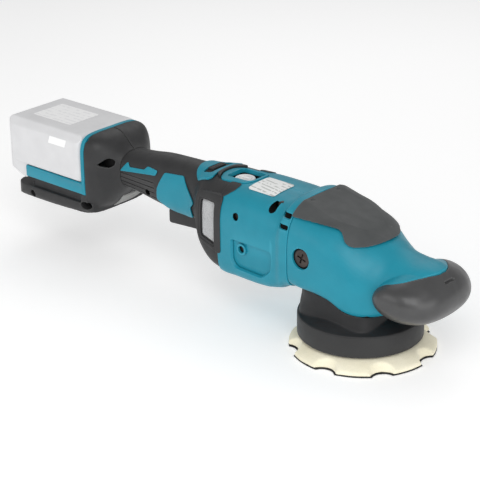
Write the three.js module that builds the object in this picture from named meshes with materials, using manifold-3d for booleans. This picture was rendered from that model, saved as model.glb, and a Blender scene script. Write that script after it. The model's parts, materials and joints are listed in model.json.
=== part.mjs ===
// Cordless dual action polisher: head with eccentric drive, brushless motor, handle and slide-on battery.
// Millimetres. The origin is on the drive spindle's axis at the pad's working face; +X runs forward to the
// nose grip, +Z runs up, and -Y is the operator's right.
import * as THREE from "three";
import { mergeVertices } from "three/addons/utils/BufferGeometryUtils.js";
import Module from "manifold-3d";

const wasm = await Module();
wasm.setup();

// ---------------------------------------------------------------- driving dimensions
const GAP = 0.3; // clearance between pieces that touch
const WALL = 2.6; // moulded casing wall
const SECTION_POINTS = 18; // points round a casing's cross-section
const STATION_PITCH = 13; // distance between the cross-sections of a casing
const REACH = 90; // longer than any piece is wide, for cutting tools

const PAD_RADIUS = 62.5; // backing pad
const PAD_NOTCHES = 8;
const NOTCH_RADIUS = 10;
const NOTCH_DEPTH = 5.5;
const NOTCH_PHASE = 8; // degrees
const ORBIT_OFFSET = 2.75; // half of the orbit diameter

const SKIRT_RADIUS = 53.2;
const SKIRT_BOTTOM = 12.4;
const SKIRT_TOP = 30;

const SPINDLE_RADIUS = 6;
const SPINDLE_TOP = 96.5;
const COLLAR_RADIUS = 10; // collar between the lower bearing and the gear
const CUP_RADIUS = 18; // eccentric cup at the spindle's lower end
const CUP_BOTTOM = 19.5;
const CUP_TOP = 40;
const PAD_BEARING = { inner: 7.2, outer: 12.6, low: 21, high: 31 };
const WEIGHT_RADIUS = 37.5; // counterweight, on the side away from the pad's offset
const WEIGHT_TOP = 29.7;
const LOWER_BEARING = { outer: 19, low: 44, high: 55 };
const UPPER_BEARING = { outer: 12.5, low: 90.6, high: 96.9 };

const MOTOR_HEIGHT = 84; // height of the motor's axis
const SHAFT_RADIUS = 4.1;
const SHAFT_BORE = SHAFT_RADIUS + GAP;
const SHAFT_NOSE_RADIUS = 2.5; // where the pinion sits
const ROTOR_RADIUS = 16.6;
const GEAR_TEETH = 31;
const PINION_TEETH = 9;
const GEAR_MODULE = 1.2;
const GEAR_PITCH_RADIUS = (GEAR_TEETH * GEAR_MODULE) / 2;
const PINION_PITCH_RADIUS = (PINION_TEETH * GEAR_MODULE) / 2;

const STATOR_BORE = 17.2;
const STATOR_RADIUS = 31;
const STATOR_SLOTS = 6;
const SLOT_CIRCLE = 22.5;
const FAN_BLADES = 9;
const FAN_RADIUS = 29.5;

const HEAD_SEAM = -43; // head cover to motor housing
const HANDLE_SEAM = -126; // motor housing to handle
const MOUNT_SEAM = -262; // handle to battery mount
const MOUNT_FACE = -294; // face that the battery butts against
const BATTERY_REAR = -395;
const BATTERY_TOP = 126;
const BATTERY_HALF_WIDTH = 37.5;
const RAIL_TOP = 84;
const RAIL_BOTTOM = 71;
const RAIL_REAR = -370;
const RAIL_SPAN = [34.6, 38.4]; // from the middle
const CELL_RADIUS = 7.7;
const CELL_PITCH = 16;
const TERMINAL_Y = [-11, 11];

// Cross-sections of the casings: x, half width, top, height of the widest point, bottom,
// and how square the section is above and below its widest point (2 is an ellipse).
const HOUSING_SECTIONS = [
  [-160, 35.0, 119.0, 84, 49.0, 3.0, 3.6],
  [-126, 38.6, 120.4, 84, 41.2, 3.0, 4.5],
  [-106, 40.4, 121.0, 84, 41.0, 3.0, 5.0],
  [-74, 42.2, 120.8, 83, 41.2, 2.9, 5.0],
  [-58, 42.8, 120.8, 82, 45.0, 2.8, 4.5],
  [-50, 44.2, 124.6, 82, 48.0, 2.8, 4.5],
  [-46, 45.0, 126.0, 82, 49.6, 2.8, 4.5],
  [-43, 45.0, 126.0, 82, 50.0, 2.8, 4.5],
];
const HANDLE_SECTIONS = [
  [-270, 19.5, 111.5, 95, 78.0, 2.4, 2.6],
  [-245, 19.3, 113.8, 95, 75.5, 2.4, 2.6],
  [-222, 19.5, 117.0, 95, 71.6, 2.5, 2.6],
  [-200, 19.8, 118.2, 94, 69.4, 2.5, 2.7],
  [-178, 20.6, 119.0, 93, 69.5, 2.5, 3.0],
  [-166, 24.0, 119.3, 91, 66.5, 2.5, 3.2],
  [-158, 31.0, 119.2, 88, 55.0, 2.8, 3.4],
  [-152, 35.2, 119.2, 86, 49.5, 3.0, 3.6],
  [-140, 36.0, 120.0, 85, 43.4, 3.0, 4.0],
  [-126, 36.6, 120.0, 84, 41.2, 3.0, 4.5],
];
const MOUNT_SECTIONS = [
  [-294, 38.5, 127.6, 90, 50.0, 5.6, 4.2],
  [-284, 38.0, 127.2, 90, 55.0, 5.4, 3.6],
  [-277, 35.4, 125.6, 91, 60.5, 4.6, 3.2],
  [-271, 30.0, 121.6, 92, 67.0, 3.7, 2.9],
  [-265, 23.8, 116.5, 94, 72.5, 2.9, 2.7],
  [-260, 21.0, 112.5, 95, 76.0, 2.5, 2.7],
  [-254, 19.8, 111.8, 95, 77.2, 2.4, 2.6],
];
const FOOT_SECTIONS = [
  [-388, 38.4, 62.5, 60, 46.5, 12, 3.2],
  [-372, 38.4, 62.5, 60, 44.8, 12, 3.2],
  [-340, 38.4, 62.5, 60, 45.0, 12, 3.2],
  [-310, 38.3, 62.5, 60, 46.8, 12, 3.2],
  [-284, 38.0, 62.5, 60, 52.0, 12, 3.2],
];
const HEAD_SECTIONS = [
  [-43, 45.0, 125.6, 82, 52.5, 2.8, 4.5],
  [-30, 45.2, 121.6, 82, 53.5, 2.8, 4.5],
  [-14, 45.2, 117.6, 81, 54.5, 2.8, 4.2],
  [0, 44.6, 114.4, 77, 52.5, 2.5, 4.0],
  [12, 42.6, 110.8, 72, 47.0, 2.2, 4.0],
  [22, 40.2, 105.6, 66, 44.0, 2.0, 4.0],
  [32, 36.8, 101.6, 62, 43.5, 1.9, 3.8],
  [42, 32.6, 97.4, 62, 45.0, 1.9, 3.2],
  [54, 29.6, 94.8, 64, 48.5, 2.1, 2.8],
  [70, 27.4, 94.0, 67, 52.0, 2.4, 2.5],
  [80, 21.0, 93.4, 68, 55.0, 2.5, 2.5],
  [86, 10.0, 91.4, 70, 60.0, 2.4, 2.4],
];
// Nose grip, by distance from the middle: rear, front, bottom and top of the section.
const NOSE_SECTIONS = [
  [0, 40, 96.2, 45.6, 91.5],
  [10, 39.6, 95.6, 46.0, 90.6],
  [20, 38.4, 93.4, 47.0, 87.6],
  [28, 38.0, 90.0, 48.8, 84.6],
  [35, 39.2, 84.8, 52.0, 82.0],
  [40, 42.2, 78.4, 56.0, 79.4],
  [43, 47.4, 71.6, 60.6, 75.6],
  [44.4, 53.0, 65.0, 64.6, 71.6],
];

// ---------------------------------------------------------------- finishes
const finish = (color, roughness, metalness = 0) => ({ color, roughness, metalness });
const TEAL = finish(0x2e90aa, 0.42);
const ELASTOMER = finish(0x3c3d3e, 0.62);
const BLACK = finish(0x1b1c1d, 0.5);
const STEEL = finish(0xa9acaf, 0.35, 1);
const ALUMINIUM = finish(0xb9bcbf, 0.45, 1);
const COPPER = finish(0x8a5a34, 0.5, 0.6);
const MESH = finish(0xc9cbcc, 0.4, 0.8);
const PALE = finish(0xc6c7c9, 0.5);
const FOAM = finish(0xefe7cc, 0.9);
const LABEL = finish(0xf0f1ee, 0.5);
const BOARD = finish(0x2f6b45, 0.6);
const DARK_SCREW = finish(0x35302f, 0.4, 0.7);

// ---------------------------------------------------------------- solids
function solid(geometry) {
  const bare = geometry.index ? geometry.toNonIndexed() : geometry.clone();
  bare.deleteAttribute("normal");
  bare.deleteAttribute("uv");
  const merged = mergeVertices(bare, 1e-4);
  return new wasm.Manifold(
    new wasm.Mesh({
      numProp: 3,
      vertProperties: merged.getAttribute("position").array,
      triVerts: new Uint32Array(merged.index.array),
    }),
  );
}

function geometryOf(manifold) {
  const { vertProperties, triVerts } = manifold.getMesh();
  const geometry = new THREE.BufferGeometry();
  geometry.setAttribute("position", new THREE.BufferAttribute(vertProperties, 3));
  geometry.setIndex(new THREE.BufferAttribute(triVerts, 1));
  return geometry;
}

const join = (first, ...others) => others.reduce((sum, other) => sum.add(other), first);
const cut = (body, ...tools) => tools.reduce((rest, tool) => rest.subtract(tool), body);

function block([x0, x1], [y0, y1], [z0, z1]) {
  const box = new THREE.BoxGeometry(x1 - x0, y1 - y0, z1 - z0);
  return solid(box.translate((x0 + x1) / 2, (y0 + y1) / 2, (z0 + z1) / 2));
}

// A round bar from one point to another along one of the axes.
function bar(radius, from, to, segments = 16) {
  const start = new THREE.Vector3(...from);
  const along = new THREE.Vector3(...to).sub(start);
  const rod = new THREE.CylinderGeometry(radius, radius, along.length(), segments);
  rod.translate(0, along.length() / 2, 0);
  const up = new THREE.Vector3(0, 1, 0);
  rod.applyQuaternion(new THREE.Quaternion().setFromUnitVectors(up, along.clone().normalize()));
  return solid(rod.translate(start.x, start.y, start.z));
}

// A turned piece from [radius, height] pairs, on a vertical axis at (x, 0).
function turned(profile, x = 0, segments = 24) {
  const points = profile.map(([radius, height]) => new THREE.Vector2(radius, height));
  const spun = new THREE.LatheGeometry(points, segments);
  return solid(spun.rotateX(Math.PI / 2).translate(x, 0, 0));
}

// A turned piece on the motor's axis, from [radius, x] pairs.
function turnedOnMotor(profile, segments = 24) {
  const points = profile.map(([radius, x]) => new THREE.Vector2(radius, x));
  const spun = new THREE.LatheGeometry(points, segments);
  return solid(spun.rotateZ(-Math.PI / 2).translate(0, 0, MOTOR_HEIGHT));
}

// A ring on a turned axis: inner and outer radius between two stations.
const ring = (inner, outer, low, high) => [
  [inner, low],
  [outer, low],
  [outer, high],
  [inner, high],
  [inner, low],
];
const disc = (radius, low, high) => [
  [0, low],
  [radius, low],
  [radius, high],
  [0, high],
];

// An outline whose corners are rounded.
function roundedShape(points, radius) {
  const shape = new THREE.Shape();
  points.forEach(([x, y], i) => {
    const corner = new THREE.Vector2(x, y);
    const before = new THREE.Vector2(...points.at(i - 1)).sub(corner);
    const after = new THREE.Vector2(...points[(i + 1) % points.length]).sub(corner);
    const reach = Math.min(radius, before.length() / 2.1, after.length() / 2.1);
    const start = before.setLength(reach).add(corner);
    const end = after.setLength(reach).add(corner);
    if (i === 0) shape.moveTo(start.x, start.y);
    else shape.lineTo(start.x, start.y);
    shape.quadraticCurveTo(x, y, end.x, end.y);
  });
  return shape;
}

const rectangle = ([x0, x1], [y0, y1]) => [
  [x0, y0],
  [x1, y0],
  [x1, y1],
  [x0, y1],
];

// A prism whose outline lies in plan (x, y), between two heights.
function planPrism(points, radius, [low, high], curveSegments = 4) {
  const options = { depth: high - low, bevelEnabled: false, curveSegments };
  const prism = new THREE.ExtrudeGeometry(roundedShape(points, radius), options);
  return solid(prism.translate(0, 0, low));
}

// A prism whose outline lies in side view (x, z), between two values of y.
function sidePrism(points, radius, [near, far], curveSegments = 4) {
  const options = { depth: far - near, bevelEnabled: false, curveSegments };
  const prism = new THREE.ExtrudeGeometry(roundedShape(points, radius), options);
  return solid(prism.rotateX(Math.PI / 2).translate(0, far, 0));
}

function skin(triangles) {
  const geometry = new THREE.BufferGeometry();
  geometry.setAttribute("position", new THREE.Float32BufferAttribute(triangles.flat(2), 3));
  return solid(geometry);
}

// A closed solid through rings of points that all run the same way round.
function loft(rings) {
  const count = rings[0].length;
  const triangles = [];
  const middle = (points) => [0, 1, 2].map((k) => points.reduce((sum, p) => sum + p[k], 0) / count);
  rings.slice(1).forEach((next, i) => {
    const last = rings[i];
    for (let k = 0; k < count; k += 1) {
      const l = (k + 1) % count;
      triangles.push([last[k], last[l], next[l]], [last[k], next[l], next[k]]);
    }
  });
  const [first, end] = [rings[0], rings.at(-1)];
  for (let k = 0; k < count; k += 1) {
    const l = (k + 1) % count;
    triangles.push([middle(first), first[l], first[k]], [middle(end), end[k], end[l]]);
  }
  const made = skin(triangles);
  return made.volume() > 0 ? made : skin(triangles.map(([a, b, c]) => [a, c, b]));
}

const power = (value, exponent) => Math.sign(value) * Math.abs(value) ** exponent;

// The section of a casing at one station, grown outwards by an offset.
function sectionRing([x, half, top, widest, bottom, square, squareBelow], offset) {
  const points = [];
  for (let i = 0; i < SECTION_POINTS; i += 1) {
    const angle = ((i + 0.5) / SECTION_POINTS) * 2 * Math.PI;
    const exponent = 2 / (Math.sin(angle) > 0 ? square : squareBelow);
    const height = Math.sin(angle) > 0 ? top + offset - widest : widest - bottom + offset;
    points.push([
      x,
      (half + offset) * power(Math.cos(angle), exponent),
      widest + height * power(Math.sin(angle), exponent),
    ]);
  }
  return points;
}

// The section at any x, on a smooth curve through the listed stations; past either end it stays the same.
function sectionAt(sections, x) {
  const last = sections.length - 1;
  const inside = Math.max(sections[0][0], Math.min(sections[last][0], x));
  const i = Math.min(last, Math.max(1, sections.findIndex((s) => s[0] >= inside))) - 1;
  const slope = (k, a, b) => (sections[b][k] - sections[a][k]) / (sections[b][0] - sections[a][0]);
  const span = sections[i + 1][0] - sections[i][0];
  const t = (inside - sections[i][0]) / span;
  return sections[i].map((value, k) => {
    if (k === 0) return x;
    const slopeIn = slope(k, Math.max(i - 1, 0), i + 1);
    const slopeOut = slope(k, i, Math.min(i + 2, last));
    const rise = sections[i + 1][k] - value;
    const curve = (3 - 2 * t) * t * t * rise;
    return value + curve + span * t * (1 - t) * ((1 - t) * slopeIn - t * slopeOut);
  });
}

// A casing's solid between two stations, grown by an offset. Its sections stand at the same places
// whatever its ends are, so that two layers of one casing keep their distance.
function body(sections, from, to, offset = 0) {
  const places = [from];
  for (let k = Math.floor(from / STATION_PITCH) + 1; k * STATION_PITCH < to - 1; k += 1) {
    if (k * STATION_PITCH > from + 1) places.push(k * STATION_PITCH);
  }
  places.push(to);
  const ends = [sections[0][0], sections.at(-1)[0]];
  places.push(...ends.filter((x) => x > from + 0.5 && x < to - 0.5 && !places.includes(x)));
  places.sort((a, b) => a - b);
  return loft(places.map((x) => sectionRing(sectionAt(sections, x), offset)));
}

// The two sides of a split casing, parted by half the gap each.
const RIGHT_SIDE = () => block([-REACH * 5, REACH * 2], [-REACH, -GAP / 2], [-10, 2 * REACH]);
const LEFT_SIDE = () => block([-REACH * 5, REACH * 2], [GAP / 2, REACH], [-10, 2 * REACH]);
const mirrored = (manifold) => manifold.scale([1, -1, 1]);

// ---------------------------------------------------------------- outlines on the casings
const SIDES = { right: -1, left: 1 };
const INTAKE_OUTLINE = [
  [-153.5, 71],
  [-146, 62.5],
  [-125, 57.5],
  [-125, 111.5],
  [-153.5, 110.5],
];
const INTAKE_WINDOW = [
  [-148, 74],
  [-131, 67.5],
  [-131, 102.5],
  [-148, 104],
];
const INTAKE_CENTRE = [-139.5, 0, 87];
const SWITCH_PANEL_OUTLINE = [
  [-208, 108.5],
  [-186, 109.5],
  [-181, 95],
  [-173, 86],
  [-172, 80],
  [-178, 77],
  [-181, 69],
  [-204, 69],
  [-216, 79],
  [-217, 91],
];
const GRIP_INSERT_OUTLINE = [
  [-258, 97.5],
  [-251, 107.5],
  [-248.5, 102],
  [-231, 104],
  [-224, 108.5],
  [-214, 106],
  [-217, 101.5],
];
const BUMPER_OUTLINE = [
  [-60, 117],
  [-14, 114.5],
  [1, 112],
  [8, 105],
  [14, 101.5],
  [24, 101.2],
  [34, 105.2],
  [44, 112],
  [44, 140],
  [-60, 140],
];
const LABEL_OUTLINE = rectangle([-103, -72], [-28, -2]);
const DIAL_FRAME_OUTLINE = [
  [-148, 0],
  [-145, -19],
  [-122, -17],
  [-104, 0],
  [-122, 17],
  [-145, 19],
];
const DIAL_CENTRE = -127.5;
const DIAL_RADIUS = 9.2;
const LOCK_CENTRE = -160;
const LOCK_BUTTON = [6, 17]; // length along x, width along y
const COLLAR_OUTLINE = [
  [-177, 0],
  [-173, -16],
  [-162, -22],
  [-150.5, -22],
  [-151, 0],
  [-150.5, 22],
  [-162, 22],
  [-173, 16],
];
const SCREW_POINTS = { upper: [-103.5, 99.5], lower: [-97.5, 71.5], front: [-66, 115.5] };
const HANDLE_SCREW = [-229, 84];
const MOUNT_SCREW = [-270, 104];
const FOOT_HOLES = [
  [-363, 55],
  [-290, 60],
];
const HEAD_SCREW = [-28, 84];
const HEAD_SCREW_RADIUS = 7.4;
const HEAD_SCREW_FACE = 43.4; // how far out the heads stand
const HOLE_RADIUS = 3.3; // wells of the housing screws
const TRIGGER_OUTLINE = [
  [-211.5, 58.5],
  [-211.5, 71],
  [-172, 73.5],
  [-162, 79.5],
  [-155.5, 78.5],
  [-155.5, 70],
  [-164, 63],
  [-176, 61],
];
const TRIGGER_SLOT = [-11, 11]; // width of the slot that the trigger moves in
const SPRING_X = -194;
const SPRING_RADIUS = 3.4;
const SPRING_TURNS = 4;

// ---------------------------------------------------------------- the object
const polisher = new THREE.Group();
polisher.name = "dual_action_polisher";

function add(name, manifold, { color, roughness, metalness }) {
  const material = new THREE.MeshStandardMaterial({ color, roughness, metalness });
  const mesh = new THREE.Mesh(geometryOf(manifold), material);
  mesh.name = name;
  polisher.add(mesh);
}

// ---- pad: hook face, foam, plate, and the stud and spindle that carry them
function padNotches(low, high) {
  const notches = [];
  const reach = PAD_RADIUS - NOTCH_DEPTH + NOTCH_RADIUS;
  for (let i = 0; i < PAD_NOTCHES; i += 1) {
    const angle = THREE.MathUtils.degToRad(NOTCH_PHASE + (360 / PAD_NOTCHES) * i);
    const x = ORBIT_OFFSET + reach * Math.cos(angle);
    const y = reach * Math.sin(angle);
    notches.push(bar(NOTCH_RADIUS, [x, y, low], [x, y, high], 10));
  }
  return notches;
}

function pad() {
  const hook = turned(disc(PAD_RADIUS, 0, 1.4), ORBIT_OFFSET, 44);
  add("pad_hook_disc", cut(hook, ...padNotches(-1, 3)), BLACK);

  // The foam has a pocket for the head of the stud, open at the top.
  const foamProfile = [
    [0, 1.7],
    [PAD_RADIUS, 1.7],
    [PAD_RADIUS, 4.6],
    [60.5, 6.6],
    [53, 9.8],
    [46, 11.8],
    [10, 11.8],
    [10, 5.6],
    [0, 5.6],
  ];
  add("pad_foam", cut(turned(foamProfile, ORBIT_OFFSET, 44), ...padNotches(-1, 14)), FOAM);

  add("pad_plate", turned(ring(4.4, 40, 12.1, 15), ORBIT_OFFSET, 20), BLACK);
  const stud = join(
    turned(disc(8, 6, 11.8), ORBIT_OFFSET, 6),
    turned(disc(3.9, 11.5, 24), ORBIT_OFFSET, 14),
  );
  add("pad_stud", stud, STEEL);
  const bore = turned(disc(4.2, 10, 24.4), ORBIT_OFFSET, 16);
  const flange = turned(disc(15, 15.3, 18), ORBIT_OFFSET, 20);
  const journal = turned(disc(6.9, 17.5, 31.4), ORBIT_OFFSET, 20);
  add("pad_spindle", cut(join(flange, journal), bore), STEEL);
  const { inner, outer, low, high } = PAD_BEARING;
  add("pad_bearing", turned(ring(inner, outer, low, high), ORBIT_OFFSET, 20), STEEL);
}

// ---- drive: spindle with its eccentric cup, counterweight, bearings and bevel gears
function bevelGear() {
  const apex = MOTOR_HEIGHT;
  const outer = GEAR_PITCH_RADIUS + 0.2;
  const inner = GEAR_PITCH_RADIUS - 6.5;
  const steps = GEAR_TEETH * 4;
  const toothTop = 0.75 * GEAR_MODULE;
  const toothRoot = -1.25 * GEAR_MODULE;
  const drop = PINION_PITCH_RADIUS / GEAR_PITCH_RADIUS;
  const rows = [[], [], [], []];
  // One tooth is four steps: rise, crest, fall and root, narrower than the space between teeth.
  const share = [0.0, 0.18, 0.4, 0.58];
  for (let i = 0; i < steps; i += 1) {
    const tooth = Math.floor(i / 4);
    const angle = ((tooth + share[i % 4] - 0.29) / GEAR_TEETH) * 2 * Math.PI;
    const height = i % 4 === 1 || i % 4 === 2 ? toothTop : toothRoot;
    const [c, s] = [Math.cos(angle), Math.sin(angle)];
    const at = (radius) => apex - radius * drop + (height * radius) / GEAR_PITCH_RADIUS;
    rows[0].push([inner * c, inner * s, at(inner)]);
    rows[1].push([outer * c, outer * s, at(outer)]);
    rows[2].push([outer * c, outer * s, 73]);
    rows[3].push([inner * c, inner * s, 73]);
  }
  const triangles = [];
  rows.forEach((row, r) => {
    const next = rows[(r + 1) % rows.length];
    for (let k = 0; k < steps; k += 1) {
      const l = (k + 1) % steps;
      triangles.push([row[k], next[l], row[l]], [row[k], next[k], next[l]]);
    }
  });
  const toothed = skin(triangles);
  const hub = turned(ring(6.3, inner + 0.5, 70, 77), 0, 20);
  return join(toothed, hub);
}

function pinionGear() {
  const near = -(GEAR_PITCH_RADIUS - 6.2);
  const far = -(GEAR_PITCH_RADIUS + 0.3);
  const share = [0.0, 0.17, 0.35, 0.52];
  const ringAt = (x) => {
    const scale = -x / GEAR_PITCH_RADIUS;
    const points = [];
    for (let i = 0; i < PINION_TEETH * 4; i += 1) {
      const crest = i % 4 === 1 || i % 4 === 2;
      const reach = (PINION_PITCH_RADIUS + (crest ? 0.75 : -1.25) * GEAR_MODULE) * scale;
      // A tooth faces straight down at rest, into a space of the bevel gear.
      const turn = (Math.floor(i / 4) + share[i % 4] - 0.26) / PINION_TEETH;
      const angle = turn * 2 * Math.PI - Math.PI / 2;
      points.push([x, reach * Math.cos(angle), MOTOR_HEIGHT + reach * Math.sin(angle)]);
    }
    return points;
  };
  const toothed = loft([ringAt(far), ringAt(near)]);
  const collar = turnedOnMotor(disc(3.7, -32, far + 0.2));
  return cut(join(toothed, collar), turnedOnMotor(disc(2.8, -40, near - 2), 16));
}

function drive() {
  const shaft = join(
    turned(disc(SPINDLE_RADIUS, CUP_TOP - 4, SPINDLE_TOP)),
    turned(disc(COLLAR_RADIUS, 60, 69.7)),
    turned(disc(CUP_RADIUS, CUP_BOTTOM, CUP_TOP)),
  );
  const pocket = turned(disc(PAD_BEARING.outer + GAP, 10, PAD_BEARING.high + 0.6), ORBIT_OFFSET, 20);
  add("spindle", cut(shaft, pocket), STEEL);
  const ringOfWeight = turned(ring(CUP_RADIUS + GAP, WEIGHT_RADIUS, CUP_BOTTOM + 0.5, WEIGHT_TOP));
  const rearHalf = block([-60, -SPINDLE_RADIUS], [-60, 60], [10, 50]);
  add("counterweight", ringOfWeight.intersect(rearHalf), STEEL);
  const lower = ring(COLLAR_RADIUS + 0.4, LOWER_BEARING.outer, LOWER_BEARING.low, LOWER_BEARING.high);
  add("lower_spindle_bearing", turned(lower, 0, 20), STEEL);
  const upper = ring(SPINDLE_RADIUS + GAP, UPPER_BEARING.outer, UPPER_BEARING.low, UPPER_BEARING.high);
  add("upper_spindle_bearing", turned(upper, 0, 20), STEEL);
  add("bevel_gear", bevelGear(), STEEL);
  add("pinion", pinionGear(), STEEL);
  add("gear_housing", gearHousing(), ALUMINIUM);
}

// The alloy housing that carries both spindle bearings and the front motor bearing.
function gearHousing() {
  const outside = join(
    turned([[0, 40], [27, 40], [30, 46], [30, 92], [20, 100], [0, 100]]),
    turnedOnMotor(disc(19, -50, -10), 20),
  );
  const inside = join(
    turned(disc(LOWER_BEARING.outer + 1, 30, LOWER_BEARING.high + GAP), 0, 20),
    turned(disc(26.5, LOWER_BEARING.high, UPPER_BEARING.low - GAP)),
    turned(disc(UPPER_BEARING.outer + GAP, 86, UPPER_BEARING.high + GAP), 0, 20),
    turnedOnMotor(disc(7, -60, -15), 16),
    turnedOnMotor(disc(13.6, -60, -37), 20),
  );
  const clampRing = cut(turned(disc(20.5, 40, 43.7), 0, 20), turned(disc(18.6, 30, 50), 0, 20));
  return cut(join(cut(outside, inside), clampRing), turned(disc(CUP_RADIUS + 0.4, 30, 43), 0, 20));
}

// ---- motor, fan and electronics
function motor() {
  add("motor_rotor", turnedOnMotor(ring(SHAFT_BORE, ROTOR_RADIUS, -111, -73)), STEEL);
  const shaftNose = turnedOnMotor(disc(SHAFT_NOSE_RADIUS, -36, -16), 16);
  add("motor_shaft", join(turnedOnMotor(disc(SHAFT_RADIUS, -122, -35)), shaftNose), STEEL);
  const core = turnedOnMotor(ring(STATOR_BORE, STATOR_RADIUS, -109, -75));
  const slots = [];
  for (let i = 0; i < STATOR_SLOTS; i += 1) {
    const angle = (i / STATOR_SLOTS) * 2 * Math.PI;
    const [y, z] = [SLOT_CIRCLE * Math.cos(angle), MOTOR_HEIGHT + SLOT_CIRCLE * Math.sin(angle)];
    slots.push(bar(4, [-112, y, z], [-72, y, z], 8));
  }
  add("motor_stator", cut(core, ...slots), COPPER);
  add("front_motor_bearing", turnedOnMotor(ring(SHAFT_BORE, 13, -46, -37.5), 28), STEEL);
  add("rear_motor_bearing", turnedOnMotor(ring(SHAFT_BORE, 11, -121, -114), 28), STEEL);
  add("sensor_board", turnedOnMotor(ring(12, 27, -113, -111.4), 28), BOARD);
  add("cooling_fan", fan(), BLACK);
  add("switch_body", block([-206, -172], [-12, 12], [82.5, 103]), BLACK);
  add("controller", block([-250, -213], [-13, 13], [84, 104]), ALUMINIUM);
  const contacts = TERMINAL_Y.map((y) => block([-305, -288], [y - 0.6, y + 0.6], [90, 98]));
  add("terminal_block", join(block([-289.5, -270], [-18, 18], [86, 104]), ...contacts), BLACK);
}

function fan() {
  const plate = turnedOnMotor(ring(SHAFT_BORE, FAN_RADIUS, -56.5, -54));
  const hub = turnedOnMotor(ring(SHAFT_BORE, 9, -66, -54));
  const blades = [];
  for (let i = 0; i < FAN_BLADES; i += 1) {
    const blade = block([-65, -56], [7.5, FAN_RADIUS - 0.5], [-0.8, 0.8]);
    const angle = (i / FAN_BLADES) * 360;
    blades.push(blade.rotate([angle, 0, 0]).translate([0, 0, MOTOR_HEIGHT]));
  }
  return join(plate, hub, ...blades);
}

// ---- motor housing and handle, each a left and a right moulding
function screwHole([x, z], radius = HOLE_RADIUS) {
  return bar(radius, [x, -REACH, z], [x, 0, z], 20);
}

function splitCasing(name, casing, look) {
  add(name + "_right", casing.intersect(RIGHT_SIDE()), look);
  add(name + "_left", casing.intersect(LEFT_SIDE()), look);
}

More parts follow.
